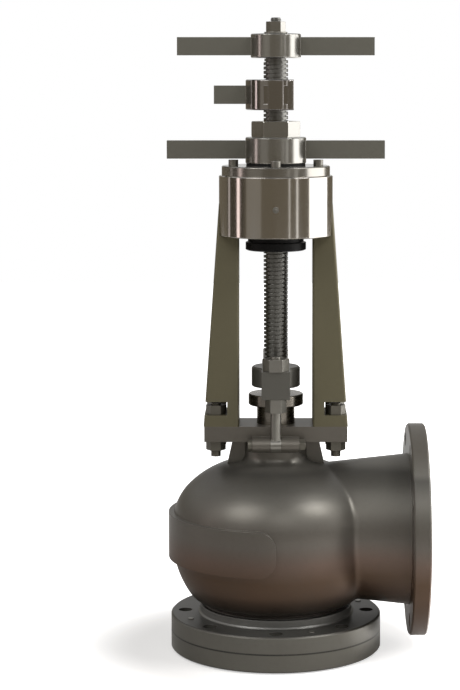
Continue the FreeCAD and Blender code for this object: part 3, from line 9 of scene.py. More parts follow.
import bmesh
import bpy
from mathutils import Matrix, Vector


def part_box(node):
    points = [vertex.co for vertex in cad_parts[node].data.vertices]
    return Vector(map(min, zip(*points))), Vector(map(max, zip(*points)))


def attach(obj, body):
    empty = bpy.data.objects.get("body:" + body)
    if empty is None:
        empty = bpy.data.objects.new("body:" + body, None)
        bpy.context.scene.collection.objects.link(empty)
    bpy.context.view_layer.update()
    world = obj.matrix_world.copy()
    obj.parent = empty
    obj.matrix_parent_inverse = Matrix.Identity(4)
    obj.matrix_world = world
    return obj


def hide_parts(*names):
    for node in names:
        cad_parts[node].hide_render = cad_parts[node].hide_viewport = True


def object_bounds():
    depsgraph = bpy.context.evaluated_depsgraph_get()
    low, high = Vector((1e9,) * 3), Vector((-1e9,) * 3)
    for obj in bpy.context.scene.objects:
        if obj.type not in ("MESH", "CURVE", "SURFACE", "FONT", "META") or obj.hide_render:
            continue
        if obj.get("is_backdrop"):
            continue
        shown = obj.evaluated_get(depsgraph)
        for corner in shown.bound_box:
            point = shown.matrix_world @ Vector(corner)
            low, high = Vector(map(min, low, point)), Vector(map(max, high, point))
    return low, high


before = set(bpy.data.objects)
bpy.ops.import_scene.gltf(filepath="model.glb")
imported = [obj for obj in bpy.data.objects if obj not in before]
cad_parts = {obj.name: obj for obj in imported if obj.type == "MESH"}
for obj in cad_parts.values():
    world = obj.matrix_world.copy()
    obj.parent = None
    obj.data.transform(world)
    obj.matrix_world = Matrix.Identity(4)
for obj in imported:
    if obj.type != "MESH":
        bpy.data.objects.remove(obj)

LOG = logging.getLogger("valve")
SECTION_TURN = 90.0
NUT_ANGLE = 14.0
BLEND_ANGLE = 32.0
WELD_DISTANCE = 0.000002
ON_AXIS = 1e-7

Colour = tuple[float, float, float]
Point = tuple[float, float, float]
Profile = list[tuple[float, float]]
Tones = tuple[tuple[float, Colour], ...]
Span = tuple[float, float]


class Grain(Enum):
    """The surface texture that a finish carries."""

    CAST = "cast"
    TURNED = "turned"
    DRAWN = "drawn"
    MOULDED = "moulded"
    WOVEN = "woven"


class Socket:
    """An output of a node tree on which Python's arithmetic makes Math nodes."""

    def __init__(self, tree: "NodeTree", link: bpy.types.NodeSocket) -> None:
        """Wraps a socket.

        Args:
            tree: the tree that the socket belongs to.
            link: the socket itself.
        """
        self.tree = tree
        self.link = link

    def _math(self, operation: str, first: object, second: object) -> "Socket":
        """Adds a Math node.

        Args:
            operation: the node's operation.
            first: a number or a socket.
            second: a number or a socket.

        Returns:
            The node's output.
        """
        return self.tree.node(
            "ShaderNodeMath", {"operation": operation}, {0: first, 1: second}
        )

    def __add__(self, other: object) -> "Socket":
        """The sum."""
        return self._math("ADD", self, other)

    def __radd__(self, other: object) -> "Socket":
        """The sum, with the number first."""
        return self._math("ADD", other, self)

    def __sub__(self, other: object) -> "Socket":
        """The difference."""
        return self._math("SUBTRACT", self, other)

    def __rsub__(self, other: object) -> "Socket":
        """The difference, with the number first."""
        return self._math("SUBTRACT", other, self)

    def __mul__(self, other: object) -> "Socket":
        """The product."""
        return self._math("MULTIPLY", self, other)

    def __truediv__(self, other: object) -> "Socket":
        """The quotient."""
        return self._math("DIVIDE", self, other)

    def __pow__(self, other: object) -> "Socket":
        """The power."""
        return self._math("POWER", self, other)

    def clipped(self) -> "Socket":
        """The value held between 0 and 1."""
        return self.atleast(0.0).atmost(1.0)

    def atmost(self, other: object) -> "Socket":
        """The lesser of two values."""
        return self._math("MINIMUM", self, other)

    def atleast(self, other: object) -> "Socket":
        """The greater of two values."""
        return self._math("MAXIMUM", self, other)

    def ramped(self, low: float, high: float) -> "Socket":
        """A smooth step from 0 at one value to 1 at another.

        Args:
            low: where the step starts.
            high: where it ends.

        Returns:
            The step's height.
        """
        return self.tree.node(
            "ShaderNodeMapRange",
            {"interpolation_type": "SMOOTHSTEP"},
            {"Value": self, "From Min": low, "From Max": high},
        )


class NodeTree:
    """A node tree that is built by one method and by the operators of its sockets."""

    def __init__(self, tree: bpy.types.NodeTree) -> None:
        """Starts an empty tree.

        Args:
            tree: the Blender tree, whose nodes are cleared.
        """
        self.tree = tree
        tree.nodes.clear()

    def node(
        self,
        kind: str,
        settings: dict[str, object] | None = None,
        inputs: dict[object, object] | None = None,
        output: object = 0,
    ) -> Socket:
        """Adds a node, sets it up and links it.

        Args:
            kind: the node's type name.
            settings: its properties, set first; "stops" fills a colour ramp.
            inputs: values or sockets for its inputs, by name or number.
            output: the output that is returned.

        Returns:
            The chosen output as a Socket.
        """
        node = self.tree.nodes.new(kind)
        for name, value in (settings or {}).items():
            if name == "stops":
                self._fill_ramp(node.color_ramp, value)
            else:
                setattr(node, name, value)
        for name, value in (inputs or {}).items():
            if isinstance(value, Socket):
                self.tree.links.new(value.link, node.inputs[name])
            else:
                node.inputs[name].default_value = value
        if not node.outputs:
            return Socket(self, None)
        return Socket(self, node.outputs[output])

    @staticmethod
    def _fill_ramp(ramp: bpy.types.ColorRamp, stops: list[tuple[float, Colour]]) -> None:
        """Puts stops of place and colour into a ramp that starts with two."""
        for index, (place, colour) in enumerate(stops):
            stop = ramp.elements[index] if index < 2 else ramp.elements.new(place)
            stop.position = place
            stop.color = (*colour, 1.0)

    def axes(self, vector: Socket, names: str = "XYZ") -> list[Socket]:
        """Splits a vector.

        Args:
            vector: the vector's socket.
            names: the axes that are wanted.

        Returns:
            One socket for each of them.
        """
        return [
            self.node("ShaderNodeSeparateXYZ", inputs={0: vector}, output=name)
            for name in names
        ]

    def rays(self) -> tuple[Socket, Socket, Socket]:
        """Tells which kind of ray asks.

        Returns:
            1 for a camera ray, for a glossy ray, and for a glossy or transmission ray.
        """
        camera, glossy, transmission = (
            self.node("ShaderNodeLightPath", output=f"Is {kind} Ray")
            for kind in ("Camera", "Glossy", "Transmission")
        )
        return camera, glossy, glossy.atleast(transmission)

    def mix(self, amount: object, first: object, second: object) -> Socket:
        """Mixes two colours.

        Args:
            amount: how much of the second colour shows.
            first: a colour or a colour socket.
            second: a colour or a colour socket.

        Returns:
            The mixed colour.
        """
        def full(colour: object) -> object:
            """The colour with its alpha, or the socket as it is."""
            return colour if isinstance(colour, Socket) else (*colour, 1.0)

        return self.node(
            "ShaderNodeMix",
            {"data_type": "RGBA"},
            {0: amount, 6: full(first), 7: full(second)},
            output=2,
        )


@dataclass(frozen=True)
class Finish:
    """A procedural finish for one kind of surface, with another inside a core radius."""

    name: str
    slot: str
    colour: Colour
    stain: Colour
    metallic: float
    smooth: float
    rough: float
    grain: Grain = Grain.CAST
    grain_scale: float = 700.0
    depth: float = 0.00002
    edge: float = 0.0007
    stained: float = 1.0
    tones: Tones = ()
    tone_span: float = 0.5
    specular: float = 0.5
    core: "Finish | None" = None
    core_radius: float = 0.0

    CORE_BLEND: ClassVar[float] = 0.0008
    EDGE_SAMPLES: ClassVar[int] = 6
    PATCH_NOISE: ClassVar[Span] = (9.0, 4.0)
    SPECK_NOISE: ClassVar[Span] = (140.0, 3.0)
    PATCH_START: ClassVar[float] = 0.42
    PATCH_GAIN: ClassVar[float] = 3.0
    PATCH_SHARE: ClassVar[float] = 0.5
    SPECK_START: ClassVar[float] = 0.5
    SPECK_GAIN: ClassVar[float] = 1.6
    SPECK_SHARE: ClassVar[float] = 0.4
    PATCH_ROUGHNESS: ClassVar[float] = 0.6
    GRAIN_ROUGHNESS: ClassVar[float] = 0.4
    GRAIN_DETAIL: ClassVar[float] = 2.0
    DRAWN_STRETCH: ClassVar[Point] = (0.06, 1.0, 1.0)
    WEAVE_DISTORTION: ClassVar[float] = 2.0

    def build(self) -> bpy.types.Material:
        """Makes the material.

        Returns:
            The finished material.
        """
        material = bpy.data.materials.new(self.name)
        material.use_nodes = True
        tree = NodeTree(material.node_tree)
        place = tree.node("ShaderNodeTexCoord", output="Object")
        across, along, height = tree.axes(place)
        radius = (across * across + along * along) ** 0.5
        patches = self._noise(tree, place, *self.PATCH_NOISE)
        specks = self._noise(tree, place, *self.SPECK_NOISE)
        grain = self._grain(tree, place, radius, height)
        colour = self._colour(tree, height, patches, specks)
        roughness = self._roughness(patches, grain)
        metallic: object = self.metallic
        if self.core:
            core = self.core
            inside = 1.0 - radius.ramped(self.core_radius, self.core_radius + self.CORE_BLEND)
            core_grain = core._grain(tree, place, radius, height)
            core_colour = core._colour(tree, height, patches, specks)
            colour = tree.mix(inside, colour, core_colour)
            core_rough = core._roughness(patches, core_grain)
            roughness = roughness + (core_rough - roughness) * inside
            metallic = inside * (core.metallic - self.metallic) + self.metallic
            grain = grain + (core_grain * (core.depth / self.depth) - grain) * inside
        edges = tree.node(
            "ShaderNodeBevel", {"samples": self.EDGE_SAMPLES}, {"Radius": self.edge},
            output="Normal",
        )
        normal = tree.node(
            "ShaderNodeBump",
            inputs={
                "Strength": 1.0, "Distance": self.depth, "Height": grain, "Normal": edges
            },
            output="Normal",
        )
        shader = tree.node(
            "ShaderNodeBsdfPrincipled",
            inputs={
                "Base Color": colour,
                "Metallic": metallic,
                "Roughness": roughness,
                "Specular IOR Level": self.specular,
                "Normal": normal,
            },
        )
        tree.node("ShaderNodeOutputMaterial", inputs={"Surface": shader})
        return material

    def _colour(
        self, tree: NodeTree, height: Socket, patches: Socket, specks: Socket
    ) -> Socket:
        """The colour at a height, with its stains.

        Args:
            tree: the material's tree.
            height: the height above the floor.
            patches: wide noise.
            specks: fine noise.

        Returns:
            The colour.
        """
        base: object = self.colour
        if self.tones:
            stops = [(place / self.tone_span, colour) for place, colour in self.tones]
            base = tree.node(
                "ShaderNodeValToRGB", {"stops": stops}, {0: height / self.tone_span}
            )
        blotches = ((patches - self.PATCH_START) * self.PATCH_GAIN).clipped()
        dots = ((specks - self.SPECK_START) * self.SPECK_GAIN).clipped()
        stain = blotches * self.PATCH_SHARE + dots * self.SPECK_SHARE
        return tree.mix((stain * self.stained).clipped(), base, self.stain)

    def _roughness(self, patches: Socket, grain: Socket) -> Socket:
        """The roughness, from smooth to rough as the patches and the grain go.

        Args:
            patches: wide noise.
            grain: the grain's height.

        Returns:
            The roughness.
        """
        spread = (patches * self.PATCH_ROUGHNESS + grain * self.GRAIN_ROUGHNESS).clipped()
        return self.smooth + spread * (self.rough - self.smooth)

    @staticmethod
    def _noise(tree: NodeTree, place: Socket, scale: float, detail: float) -> Socket:
        """A noise value over a place.

        Args:
            tree: the material's tree.
            place: where the noise is asked.
            scale: how fine it is.
            detail: how many finer layers it has.

        Returns:
            The value, from 0 to 1.
        """
        return tree.node(
            "ShaderNodeTexNoise", inputs={"Vector": place, "Scale": scale, "Detail": detail}
        )

    def _grain(
        self, tree: NodeTree, place: Socket, radius: Socket, height: Socket
    ) -> Socket:
        """The fine grain's height, as the finish's kind asks.

        Args:
            tree: the material's tree.
            place: where the grain is asked.
            radius: the distance from the stem axis.
            height: the height above the floor.

        Returns:
            The grain's height, from 0 to 1.
        """
        if self.grain is Grain.TURNED:
            place = tree.node("ShaderNodeCombineXYZ", inputs={0: radius, 2: height})
        elif self.grain is Grain.DRAWN:
            place = tree.node(
                "ShaderNodeMapping", inputs={"Vector": place, "Scale": self.DRAWN_STRETCH}
            )
        elif self.grain is Grain.WOVEN:
            return tree.node(
                "ShaderNodeTexWave", {"bands_direction": "DIAGONAL"},
                {
                    "Vector": place, "Scale": self.grain_scale,
                    "Distortion": self.WEAVE_DISTORTION,
                },
                output="Fac",
            )
        return self._noise(tree, place, self.grain_scale, self.GRAIN_DETAIL)


class Finishes:
    """All the finishes of the valve, each made when first asked for."""

    # Painted shadow: a near-black band at the joint between the seat flange and the body
    # flange, where shade falls in the gap.
    SEAM_HEIGHT = 0.0315
    SEAM_HALF = 0.0003
    SEAM_BLUR = 0.0007
    FLANGE_COLOUR: Colour = (0.13, 0.125, 0.108)
    SEAM_SHADOW_COLOUR: Colour = (0.01, 0.01, 0.01)
    FLANGE_TONES_WITH_SEAM_SHADOW: Tones = (
        (0.0, FLANGE_COLOUR),
        (SEAM_HEIGHT - SEAM_BLUR, FLANGE_COLOUR),
        (SEAM_HEIGHT - SEAM_HALF, SEAM_SHADOW_COLOUR),
        (SEAM_HEIGHT + SEAM_HALF, SEAM_SHADOW_COLOUR),
        (SEAM_HEIGHT + SEAM_BLUR, FLANGE_COLOUR),
    )
    # Around the foot ring: painted shade on the flange's top face beside the ring and in the
    # crease above it; the machined ring itself is lighter.
    FOOT_RING_AND_SHADE_TONES: Tones = (
        (0.0575, FLANGE_COLOUR),
        # painted shade on the flange's top face beside the ring
        (0.0588, (0.05, 0.047, 0.042)),
        (0.0594, (0.055, 0.052, 0.046)),
        # the machined ring, lightest at its foot
        (0.0602, (0.22, 0.22, 0.207)),
        (0.0728, (0.17, 0.168, 0.157)),
        # painted shade in the crease between the ring and the bowl; the heel above it is a
        # darker brown
        (0.0745, (0.045, 0.038, 0.032)),
        (0.09, (0.055, 0.042, 0.032)),
    )
    OUTLET_TONES: Tones = (
        (0.0, (0.062, 0.036, 0.02)),
        (0.09, (0.066, 0.038, 0.022)),
    )
    BODY_TONES: Tones = (
        (0.115, (0.085, 0.05, 0.03)),
        (0.14, (0.088, 0.052, 0.03)),
        (0.17, (0.128, 0.088, 0.068)),
        (0.2, (0.132, 0.118, 0.102)),
        (0.25, (0.125, 0.117, 0.1)),
        (0.27, (0.12, 0.113, 0.098)),
        # painted shade: a darker band on the top of the dome just under the neck; the neck
        # above is lighter
        (0.3, (0.08, 0.076, 0.067)),
        (0.309, (0.148, 0.14, 0.122)),
        (0.34, (0.136, 0.124, 0.105)),
    )
    FOOT_CAST = Finish(
        "dark_foot_steel", "cast_body", (0.10, 0.094, 0.08), (0.06, 0.05, 0.04),
        0.6, 0.33, 0.47, Grain.CAST, 420.0, 0.00004, 0.0012, 0.5,
        FLANGE_TONES_WITH_SEAM_SHADOW + FOOT_RING_AND_SHADE_TONES + BODY_TONES,
    )
    CAST = replace(
        FOOT_CAST, name="dark_cast_steel", core=FOOT_CAST, core_radius=0.19,
        tones=OUTLET_TONES + BODY_TONES,
    )
    FLANGE = Finish(
        "satin_flange_steel", "flange_steel", FLANGE_COLOUR, (0.08, 0.072, 0.056),
        0.7, 0.26, 0.38, Grain.TURNED, 900.0, 0.00002, 0.0009, 0.6, FLANGE_TONES_WITH_SEAM_SHADOW,
    )
    GLAND_BAR = Finish(
        "satin_gland_steel", "flange_steel", (0.116, 0.112, 0.098), (0.08, 0.074, 0.062),
        0.6, 0.30, 0.44, Grain.CAST, 600.0, 0.00002, 0.0012, 0.6,
    )
    LEG = Finish(
        "satin_leg_steel", "leg_steel", (0.125, 0.112, 0.068), (0.088, 0.077, 0.046),
        0.5, 0.38, 0.52, Grain.DRAWN, 500.0, 0.00002, 0.0007, 0.6,
    )
    POLISHED = Finish(
        "turned_bright_steel", "polished_steel", (0.56, 0.53, 0.49), (0.44, 0.41, 0.37),
        1.0, 0.08, 0.16, Grain.TURNED, 1400.0, 0.000003, 0.0007, 0.5,
    )
    CAP = replace(
        POLISHED, name="turned_cap_steel", colour=(0.38, 0.365, 0.335),
        stain=(0.3, 0.28, 0.26), smooth=0.16, rough=0.26,
    )
    HUB = replace(
        POLISHED, name="turned_hub_steel", colour=(0.40, 0.39, 0.365),
        stain=(0.32, 0.31, 0.29), smooth=0.18, rough=0.28,
    )
    DARK_POLISHED = replace(
        POLISHED, name="dark_turned_steel", colour=(0.42, 0.40, 0.385),
        stain=(0.32, 0.30, 0.29),
    )
    # Painted shade: the housing's turned steel made darker for the gland follower, which sits
    # shaded between the legs.
    SHADED_FOLLOWER = replace(
        POLISHED, name="shade_darkened_follower_steel", colour=(0.24, 0.22, 0.19),
        stain=(0.17, 0.155, 0.13), smooth=0.22, rough=0.32,
    )
    BAR = Finish(
        "satin_bar_steel", "bar_steel", (0.12, 0.115, 0.095), (0.09, 0.084, 0.068),
        0.45, 0.4, 0.52, Grain.DRAWN, 500.0, 0.00002, 0.0007, 0.6,
    )
    DRIVE_BAR = replace(BAR, name="drive_handle_steel", core=HUB, core_radius=0.0502)
    TOP_BAR = replace(BAR, name="top_handle_steel", core=HUB, core_radius=0.0415)
    LEVER = replace(
        BAR, name="lock_lever_steel", slot="polished_steel", core=DARK_POLISHED,
        core_radius=0.0499,
    )
    STEM = Finish(
        "threaded_stem_steel", "stem_steel", (0.19, 0.187, 0.175), (0.12, 0.117, 0.106),
        1.0, 0.28, 0.4, Grain.TURNED, 1200.0, 0.000006, 0.0004, 0.6,
    )
    FASTENER = Finish(
        "satin_fastener_steel", "fastener_steel", (0.26, 0.25, 0.225), (0.16, 0.15, 0.125),
        0.9, 0.24, 0.4, Grain.DRAWN, 900.0, 0.00001, 0.0009, 0.7,
    )
    DARK_FASTENER = Finish(
        "dark_fastener_steel", "fastener_steel", (0.13, 0.122, 0.10), (0.085, 0.076, 0.06),
        0.7, 0.3, 0.44, Grain.DRAWN, 900.0, 0.00001, 0.0009, 0.7,
    )
    HARD = Finish(
        "ground_hard_facing", "hard_steel", (0.46, 0.46, 0.46), (0.33, 0.33, 0.33),
        1.0, 0.18, 0.3, Grain.TURNED, 1500.0, 0.000006,
    )
    BEARING = Finish(
        "ground_bearing_steel", "bearing_steel", (0.55, 0.55, 0.56), (0.42, 0.42, 0.42),
        1.0, 0.1, 0.2, Grain.TURNED, 1800.0, 0.000004,
    )
    BRONZE = Finish(
        "machined_bronze", "bronze", (0.50, 0.32, 0.13), (0.30, 0.19, 0.09),
        1.0, 0.24, 0.4, Grain.TURNED, 1200.0, 0.000008,
    )
    BLACK = Finish(
        "black_dust_ring", "black_seal", (0.006, 0.006, 0.006), (0.01, 0.0095, 0.009),
        0.0, 0.4, 0.55, Grain.MOULDED, 500.0, 0.00002, specular=0.15,
    )
    PACKING = Finish(
        "braided_packing", "packing", (0.04, 0.04, 0.04), (0.02, 0.02, 0.02),
        0.0, 0.6, 0.8, Grain.WOVEN, 300.0, 0.0003,
    )
    GASKET = Finish(
        "graphite_sheet", "gasket", (0.05, 0.05, 0.05), (0.03, 0.03, 0.03),
        0.2, 0.5, 0.65, Grain.MOULDED, 900.0, 0.00002,
    )

    def __init__(self) -> None:
        """Starts with no material made."""
        self._made: dict[str, bpy.types.Material] = {}

    def material(self, finish: Finish) -> bpy.types.Material:
        """The material of a finish.

        Args:
            finish: one of this class's finishes.

        Returns:
            The material, made once.
        """
        if finish.name not in self._made:
            self._made[finish.name] = finish.build()
        return self._made[finish.name]


class GeometryTree(NodeTree):
    """A Geometry Nodes tree whose named inputs are its sizes."""

    def __init__(self, name: str, sizes: dict[str, float]) -> None:
        """Starts a tree with one number input for each size.

        Args:
            name: the tree's name.
            sizes: each input's name and value.
        """
        group = bpy.data.node_groups.new(name, "GeometryNodeTree")
        super().__init__(group)
        self.group = group
        self.sizes = sizes
        face = group.interface
        face.new_socket("Geometry", in_out="OUTPUT", socket_type="NodeSocketGeometry")
        face.new_socket("Geometry", in_out="INPUT", socket_type="NodeSocketGeometry")
        self.identifiers = {
            size: face.new_socket(
                size, in_out="INPUT", socket_type="NodeSocketFloat"
            ).identifier
            for size in sizes
        }
        self._source = group.nodes.new("NodeGroupInput")

    def size(self, name: str) -> Socket:
        """One of the tree's inputs.

        Args:
            name: the input's name.

        Returns:
            Its socket.
        """
        return Socket(self, self._source.outputs[name])

    def finish(self, geometry: Socket, material: bpy.types.Material) -> None:
        """Ends the tree with real geometry of one material.

        Args:
            geometry: what the tree has made.
            material: what it is made of.
        """
        real = self.node("GeometryNodeRealizeInstances", inputs={0: geometry})
        dressed = self.node(
            "GeometryNodeSetMaterial", inputs={"Geometry": real, "Material": material}
        )
        end = self.group.nodes.new("NodeGroupOutput")
        self.group.links.new(dressed.link, end.inputs[0])

    def mesh(self, places: Iterable[Point]) -> bpy.types.Mesh:
        """Runs the tree on a cloud of places.

        Args:
            places: where the tree's copies stand, in metres.

        Returns:
            The plain mesh that it makes.
        """
        cloud = bpy.data.meshes.new(f"{self.group.name}_places")
        cloud.from_pydata([Vector(place) for place in places], [], [])
        holder = bpy.data.objects.new(f"{self.group.name}_holder", cloud)
        bpy.context.scene.collection.objects.link(holder)
        modifier = holder.modifiers.new("nodes", "NODES")
        modifier.node_group = self.group
        for name, value in self.sizes.items():
            modifier[self.identifiers[name]] = float(value)
        graph = bpy.context.evaluated_depsgraph_get()
        graph.update()
        made = bpy.data.meshes.new_from_object(holder.evaluated_get(graph))
        holder.modifiers.remove(modifier)
        bpy.data.objects.remove(holder)
        return made


class Workshop:
    """Makes, joins and dresses meshes, and hangs them on the bodies' empties."""

    def __init__(self, finishes: Finishes) -> None:
        """Starts with the finishes that pieces are dressed in.

        Args:
            finishes: the valve's finishes.
        """
        self.finishes = finishes

    def add(
        self,
        name: str,
        shape: bmesh.types.BMesh,
        finish: Finish,
        body: str,
        replaced: Iterable[str] = (),
        smooth_angle: float = BLEND_ANGLE,
    ) -> bpy.types.Object:
        """Turns a shape into a shown piece that rides on a body.

        Args:
            name: the piece's name.
            shape: its mesh, which is freed.
            finish: what it is made of.
            body: the CAD body that carries it.
            replaced: CAD nodes that it stands for.
            smooth_angle: the angle in degrees under which faces blend.

        Returns:
            The new object.
        """
        limit = math.radians(smooth_angle)
        for face in shape.faces:
            face.smooth = True
        for edge in shape.edges:
            edge.smooth = not edge.is_manifold or edge.calc_face_angle(0.0) < limit
        mesh = bpy.data.meshes.new(name)
        shape.to_mesh(mesh)
        shape.free()
        mesh.materials.clear()
        mesh.materials.append(self.finishes.material(finish))
        piece = bpy.data.objects.new(name, mesh)
        bpy.context.scene.collection.objects.link(piece)
        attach(piece, body)
        if replaced:
            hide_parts(*replaced)
        LOG.info("%s: %d faces", name, len(mesh.polygons))
        return piece

    def dress(
        self, node: str, finish: Finish, body: str, smooth_angle: float = BLEND_ANGLE
    ) -> bpy.types.Object:
        """Stands a welded, smooth-shaded copy in for a CAD node.

        Args:
            node: the CAD node.
            finish: what it is made of.
            body: the CAD body that carries it.
            smooth_angle: the angle in degrees under which faces blend.

        Returns:
            The copy.
        """
        shape = bmesh.new()
        shape.from_mesh(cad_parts[node].data)
        bmesh.ops.remove_doubles(shape, verts=shape.verts, dist=WELD_DISTANCE)
        return self.add(f"{node}_dressed", shape, finish, body, [node], smooth_angle)

    def paint(self, node: str, finish: Finish) -> None:
        """Gives its finish to a CAD node that is shown as it is.

        Args:
            node: the CAD node.
            finish: what it is made of.
        """
        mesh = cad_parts[node].data
        mesh.materials.clear()
        mesh.materials.append(self.finishes.material(finish))

    @staticmethod
    def lathe(
        profile: Profile, segments: int = 96, hollow: bool = False
    ) -> bmesh.types.BMesh:
        """Turns a profile of radius and height about the stem axis.

        Args:
            profile: points in metres, from one on the axis to another, or a loop.
            segments: how many steps go round.
            hollow: whether the profile is a loop, clear of the axis.

        Returns:
            A closed mesh.
        """
        shape = bmesh.new()
        rings = []
        for radius, height in profile:
            if radius < ON_AXIS:
                rings.append([shape.verts.new((0.0, 0.0, height))])
                continue
            rings.append([
                shape.verts.new((
                    radius * math.cos(step * math.tau / segments),
                    radius * math.sin(step * math.tau / segments),
                    height,
                ))
                for step in range(segments)
            ])
        if hollow:
            rings.append(rings[0])
        for low, high in zip(rings, rings[1:]):
            for step in range(segments):
                after = (step + 1) % segments
                corners = [low[step % len(low)], low[after % len(low)],
                           high[after % len(high)], high[step % len(high)]]
                distinct = list(dict.fromkeys(corners))
                shape.faces.new(distinct)
        bmesh.ops.recalc_face_normals(shape, faces=shape.faces)
        return shape

    @staticmethod
    def merge(*shapes: bmesh.types.BMesh | bpy.types.Mesh) -> bmesh.types.BMesh:
        """Gathers several meshes into one.

        Args:
            shapes: the meshes; a BMesh is freed.

        Returns:
            One mesh that holds them all.
        """
        whole = bmesh.new()
        for shape in shapes:
            if isinstance(shape, bpy.types.Mesh):
                whole.from_mesh(shape)
                continue
            mesh = bpy.data.meshes.new("part")
            shape.to_mesh(mesh)
            shape.free()
            whole.from_mesh(mesh)
            bpy.data.meshes.remove(mesh)
        return whole


@dataclass(frozen=True)
class Thread:
    """A screw thread: a ridge of trapezoid section that winds round a core."""

    crest: float
    depth: float
    pitch: float
    left_handed: bool = False

    ROOT_SHARE: ClassVar[float] = 0.66
    CREST_SHARE: ClassVar[float] = 0.36
    STEPS_A_TURN: ClassVar[int] = 48

    def ridges(
        self, name: str, low: float, high: float, places: Iterable[Point],
        material: bpy.types.Material,
    ) -> bpy.types.Mesh:
        """Winds a ridge from one height to another at each place.

        Args:
            name: the tree's name.
            low: where the ridge starts, in metres above each place.
            high: where it ends.
            places: the feet of the rods.
            material: what the ridge is made of.

        Returns:
            The ridges as one mesh.
        """
        turns = (high - low) / self.pitch
        tree = GeometryTree(name, {
            "Crest radius": self.crest,
            "Depth": self.depth,
            "Pitch": self.pitch,
            "Turns": turns,
            "Start": low,
        })
        middle = tree.size("Crest radius") - tree.size("Depth") * 0.5
        spiral = tree.node(
            "GeometryNodeCurveSpiral",
            inputs={
                "Resolution": self.STEPS_A_TURN,
                "Rotations": tree.size("Turns"),
                "Start Radius": middle,
                "End Radius": middle,
                "Height": tree.size("Pitch") * tree.size("Turns"),
                "Reverse": self.left_handed,
            },
        )
        upright = tree.node(
            "GeometryNodeSetCurveNormal", {"mode": "Z_UP"}, {"Curve": spiral}
        )
        section = tree.node(
            "GeometryNodeCurvePrimitiveQuadrilateral",
            {"mode": "TRAPEZOID"},
            {
                "Bottom Width": tree.size("Pitch") * self.ROOT_SHARE,
                "Top Width": tree.size("Pitch") * self.CREST_SHARE,
                "Offset": 0.0,
                "Height": tree.size("Depth"),
            },
        )
        turned = tree.node(
            "GeometryNodeTransform",
            inputs={
                "Geometry": section, "Rotation": (0.0, 0.0, math.radians(SECTION_TURN))
            },
        )
        ridge = tree.node(
            "GeometryNodeCurveToMesh",
            inputs={"Curve": upright, "Profile Curve": turned, "Fill Caps": True},
        )
        lift = tree.node("ShaderNodeCombineXYZ", inputs={2: tree.size("Start")})
        raised = tree.node(
            "GeometryNodeTransform", inputs={"Geometry": ridge, "Translation": lift}
        )
        copies = tree.node(
            "GeometryNodeInstanceOnPoints",
            inputs={"Points": tree.size("Geometry"), "Instance": raised},
        )
        tree.finish(copies, material)
        return tree.mesh(places)


@dataclass
class Casting:
    """The cast body, the seat flange below it and what they hold inside."""

    body: str = "valve"
    ring_radius: float = 0.125
    ring_inside: float = 0.112
    ring_low: float = 0.0585
    ring_top: float = 0.0735
    ring_edge: float = 0.0012
    ring_segments: int = 128

    def build(self, shop: Workshop) -> None:
        """Dresses the casting.

        Args:
            shop: the workshop that makes the pieces.
        """
        shop.dress("valve_body", Finishes.CAST, self.body)
        ring = shop.lathe([
            (self.ring_inside, self.ring_low),
            (self.ring_radius, self.ring_low),
            (self.ring_radius, self.ring_top - self.ring_edge),
            (self.ring_radius - self.ring_edge, self.ring_top),
            (self.ring_inside, self.ring_top),
        ], self.ring_segments, hollow=True)
        shop.add("foot_ring", ring, Finishes.CAST, self.body)
        shop.dress("seat_flange", Finishes.FLANGE, self.body)
        shop.dress("seat_flange_screws", Finishes.FASTENER, self.body)
        shop.dress("seat_ring", Finishes.HARD, self.body)
        shop.paint("seat_gasket", Finishes.GASKET)


@dataclass
class Gland:
    """The stuffing box's gland with its swing eyebolts."""

    body: str = "valve"
    offset: float = 0.062
    thread: Thread = Thread(0.0085, 0.0011, 0.0025)
    thread_low: float = 0.3905
    thread_high: float = 0.4865

    def build(self, shop: Workshop) -> None:
        """Dresses the gland.

        Args:
            shop: the workshop that makes the pieces.
        """
        # the follower's finish carries painted shade
        shop.dress("gland_follower", Finishes.SHADED_FOLLOWER, self.body)
        shop.dress("gland_plate", Finishes.GLAND_BAR, self.body)
        shop.dress("gland_eyebolts", Finishes.FASTENER, self.body)
        for node in ("gland_nuts", "gland_jam_nuts"):
            shop.dress(node, Finishes.FASTENER, self.body, NUT_ANGLE)
        for node in ("eyebolt_pins", "eyebolt_pin_nuts"):
            shop.dress(node, Finishes.DARK_FASTENER, self.body, NUT_ANGLE)
        material = shop.finishes.material(Finishes.FASTENER)
        feet = [(0.0, side * self.offset, 0.0) for side in (-1, 1)]
        ridges = self.thread.ridges(
            "eyebolt_thread", self.thread_low, self.thread_high, feet, material
        )
        shop.add("eyebolt_threads", shop.merge(ridges), Finishes.FASTENER, self.body)
        shop.paint("throat_bush", Finishes.BRONZE)
        shop.paint("packing_rings", Finishes.PACKING)


@dataclass
class Yoke:
    """The two legs and the studs that clamp them to the casting's plate."""

    body: str = "valve"
    stud_x: float = 0.098
    stud_y: float = 0.024
    thread: Thread = Thread(0.0080, 0.0010, 0.0020)
    margin: float = 0.0015

    def build(self, shop: Workshop) -> None:
        """Dresses the yoke.

        Args:
            shop: the workshop that makes the pieces.
        """
        for node in ("left_leg", "right_leg"):
            shop.dress(node, Finishes.LEG, self.body)
        for node in ("leg_studs", "leg_upper_nuts", "leg_lower_nuts"):
            shop.dress(node, Finishes.DARK_FASTENER, self.body, NUT_ANGLE)
        material = shop.finishes.material(Finishes.DARK_FASTENER)
        feet = [
            (x * self.stud_x, y * self.stud_y, 0.0) for x in (-1, 1) for y in (-1, 1)
        ]
        foot, head = (corner[2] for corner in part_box("leg_studs"))
        low_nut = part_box("leg_lower_nuts")[0][2]
        high_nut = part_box("leg_upper_nuts")[1][2]
        low = self.thread.ridges(
            "stud_foot_thread", foot + self.margin, low_nut - self.margin, feet, material
        )
        high = self.thread.ridges(
            "stud_head_thread", high_nut + self.margin, head - self.margin, feet, material
        )
        shop.add("stud_threads", shop.merge(low, high), Finishes.DARK_FASTENER, self.body)


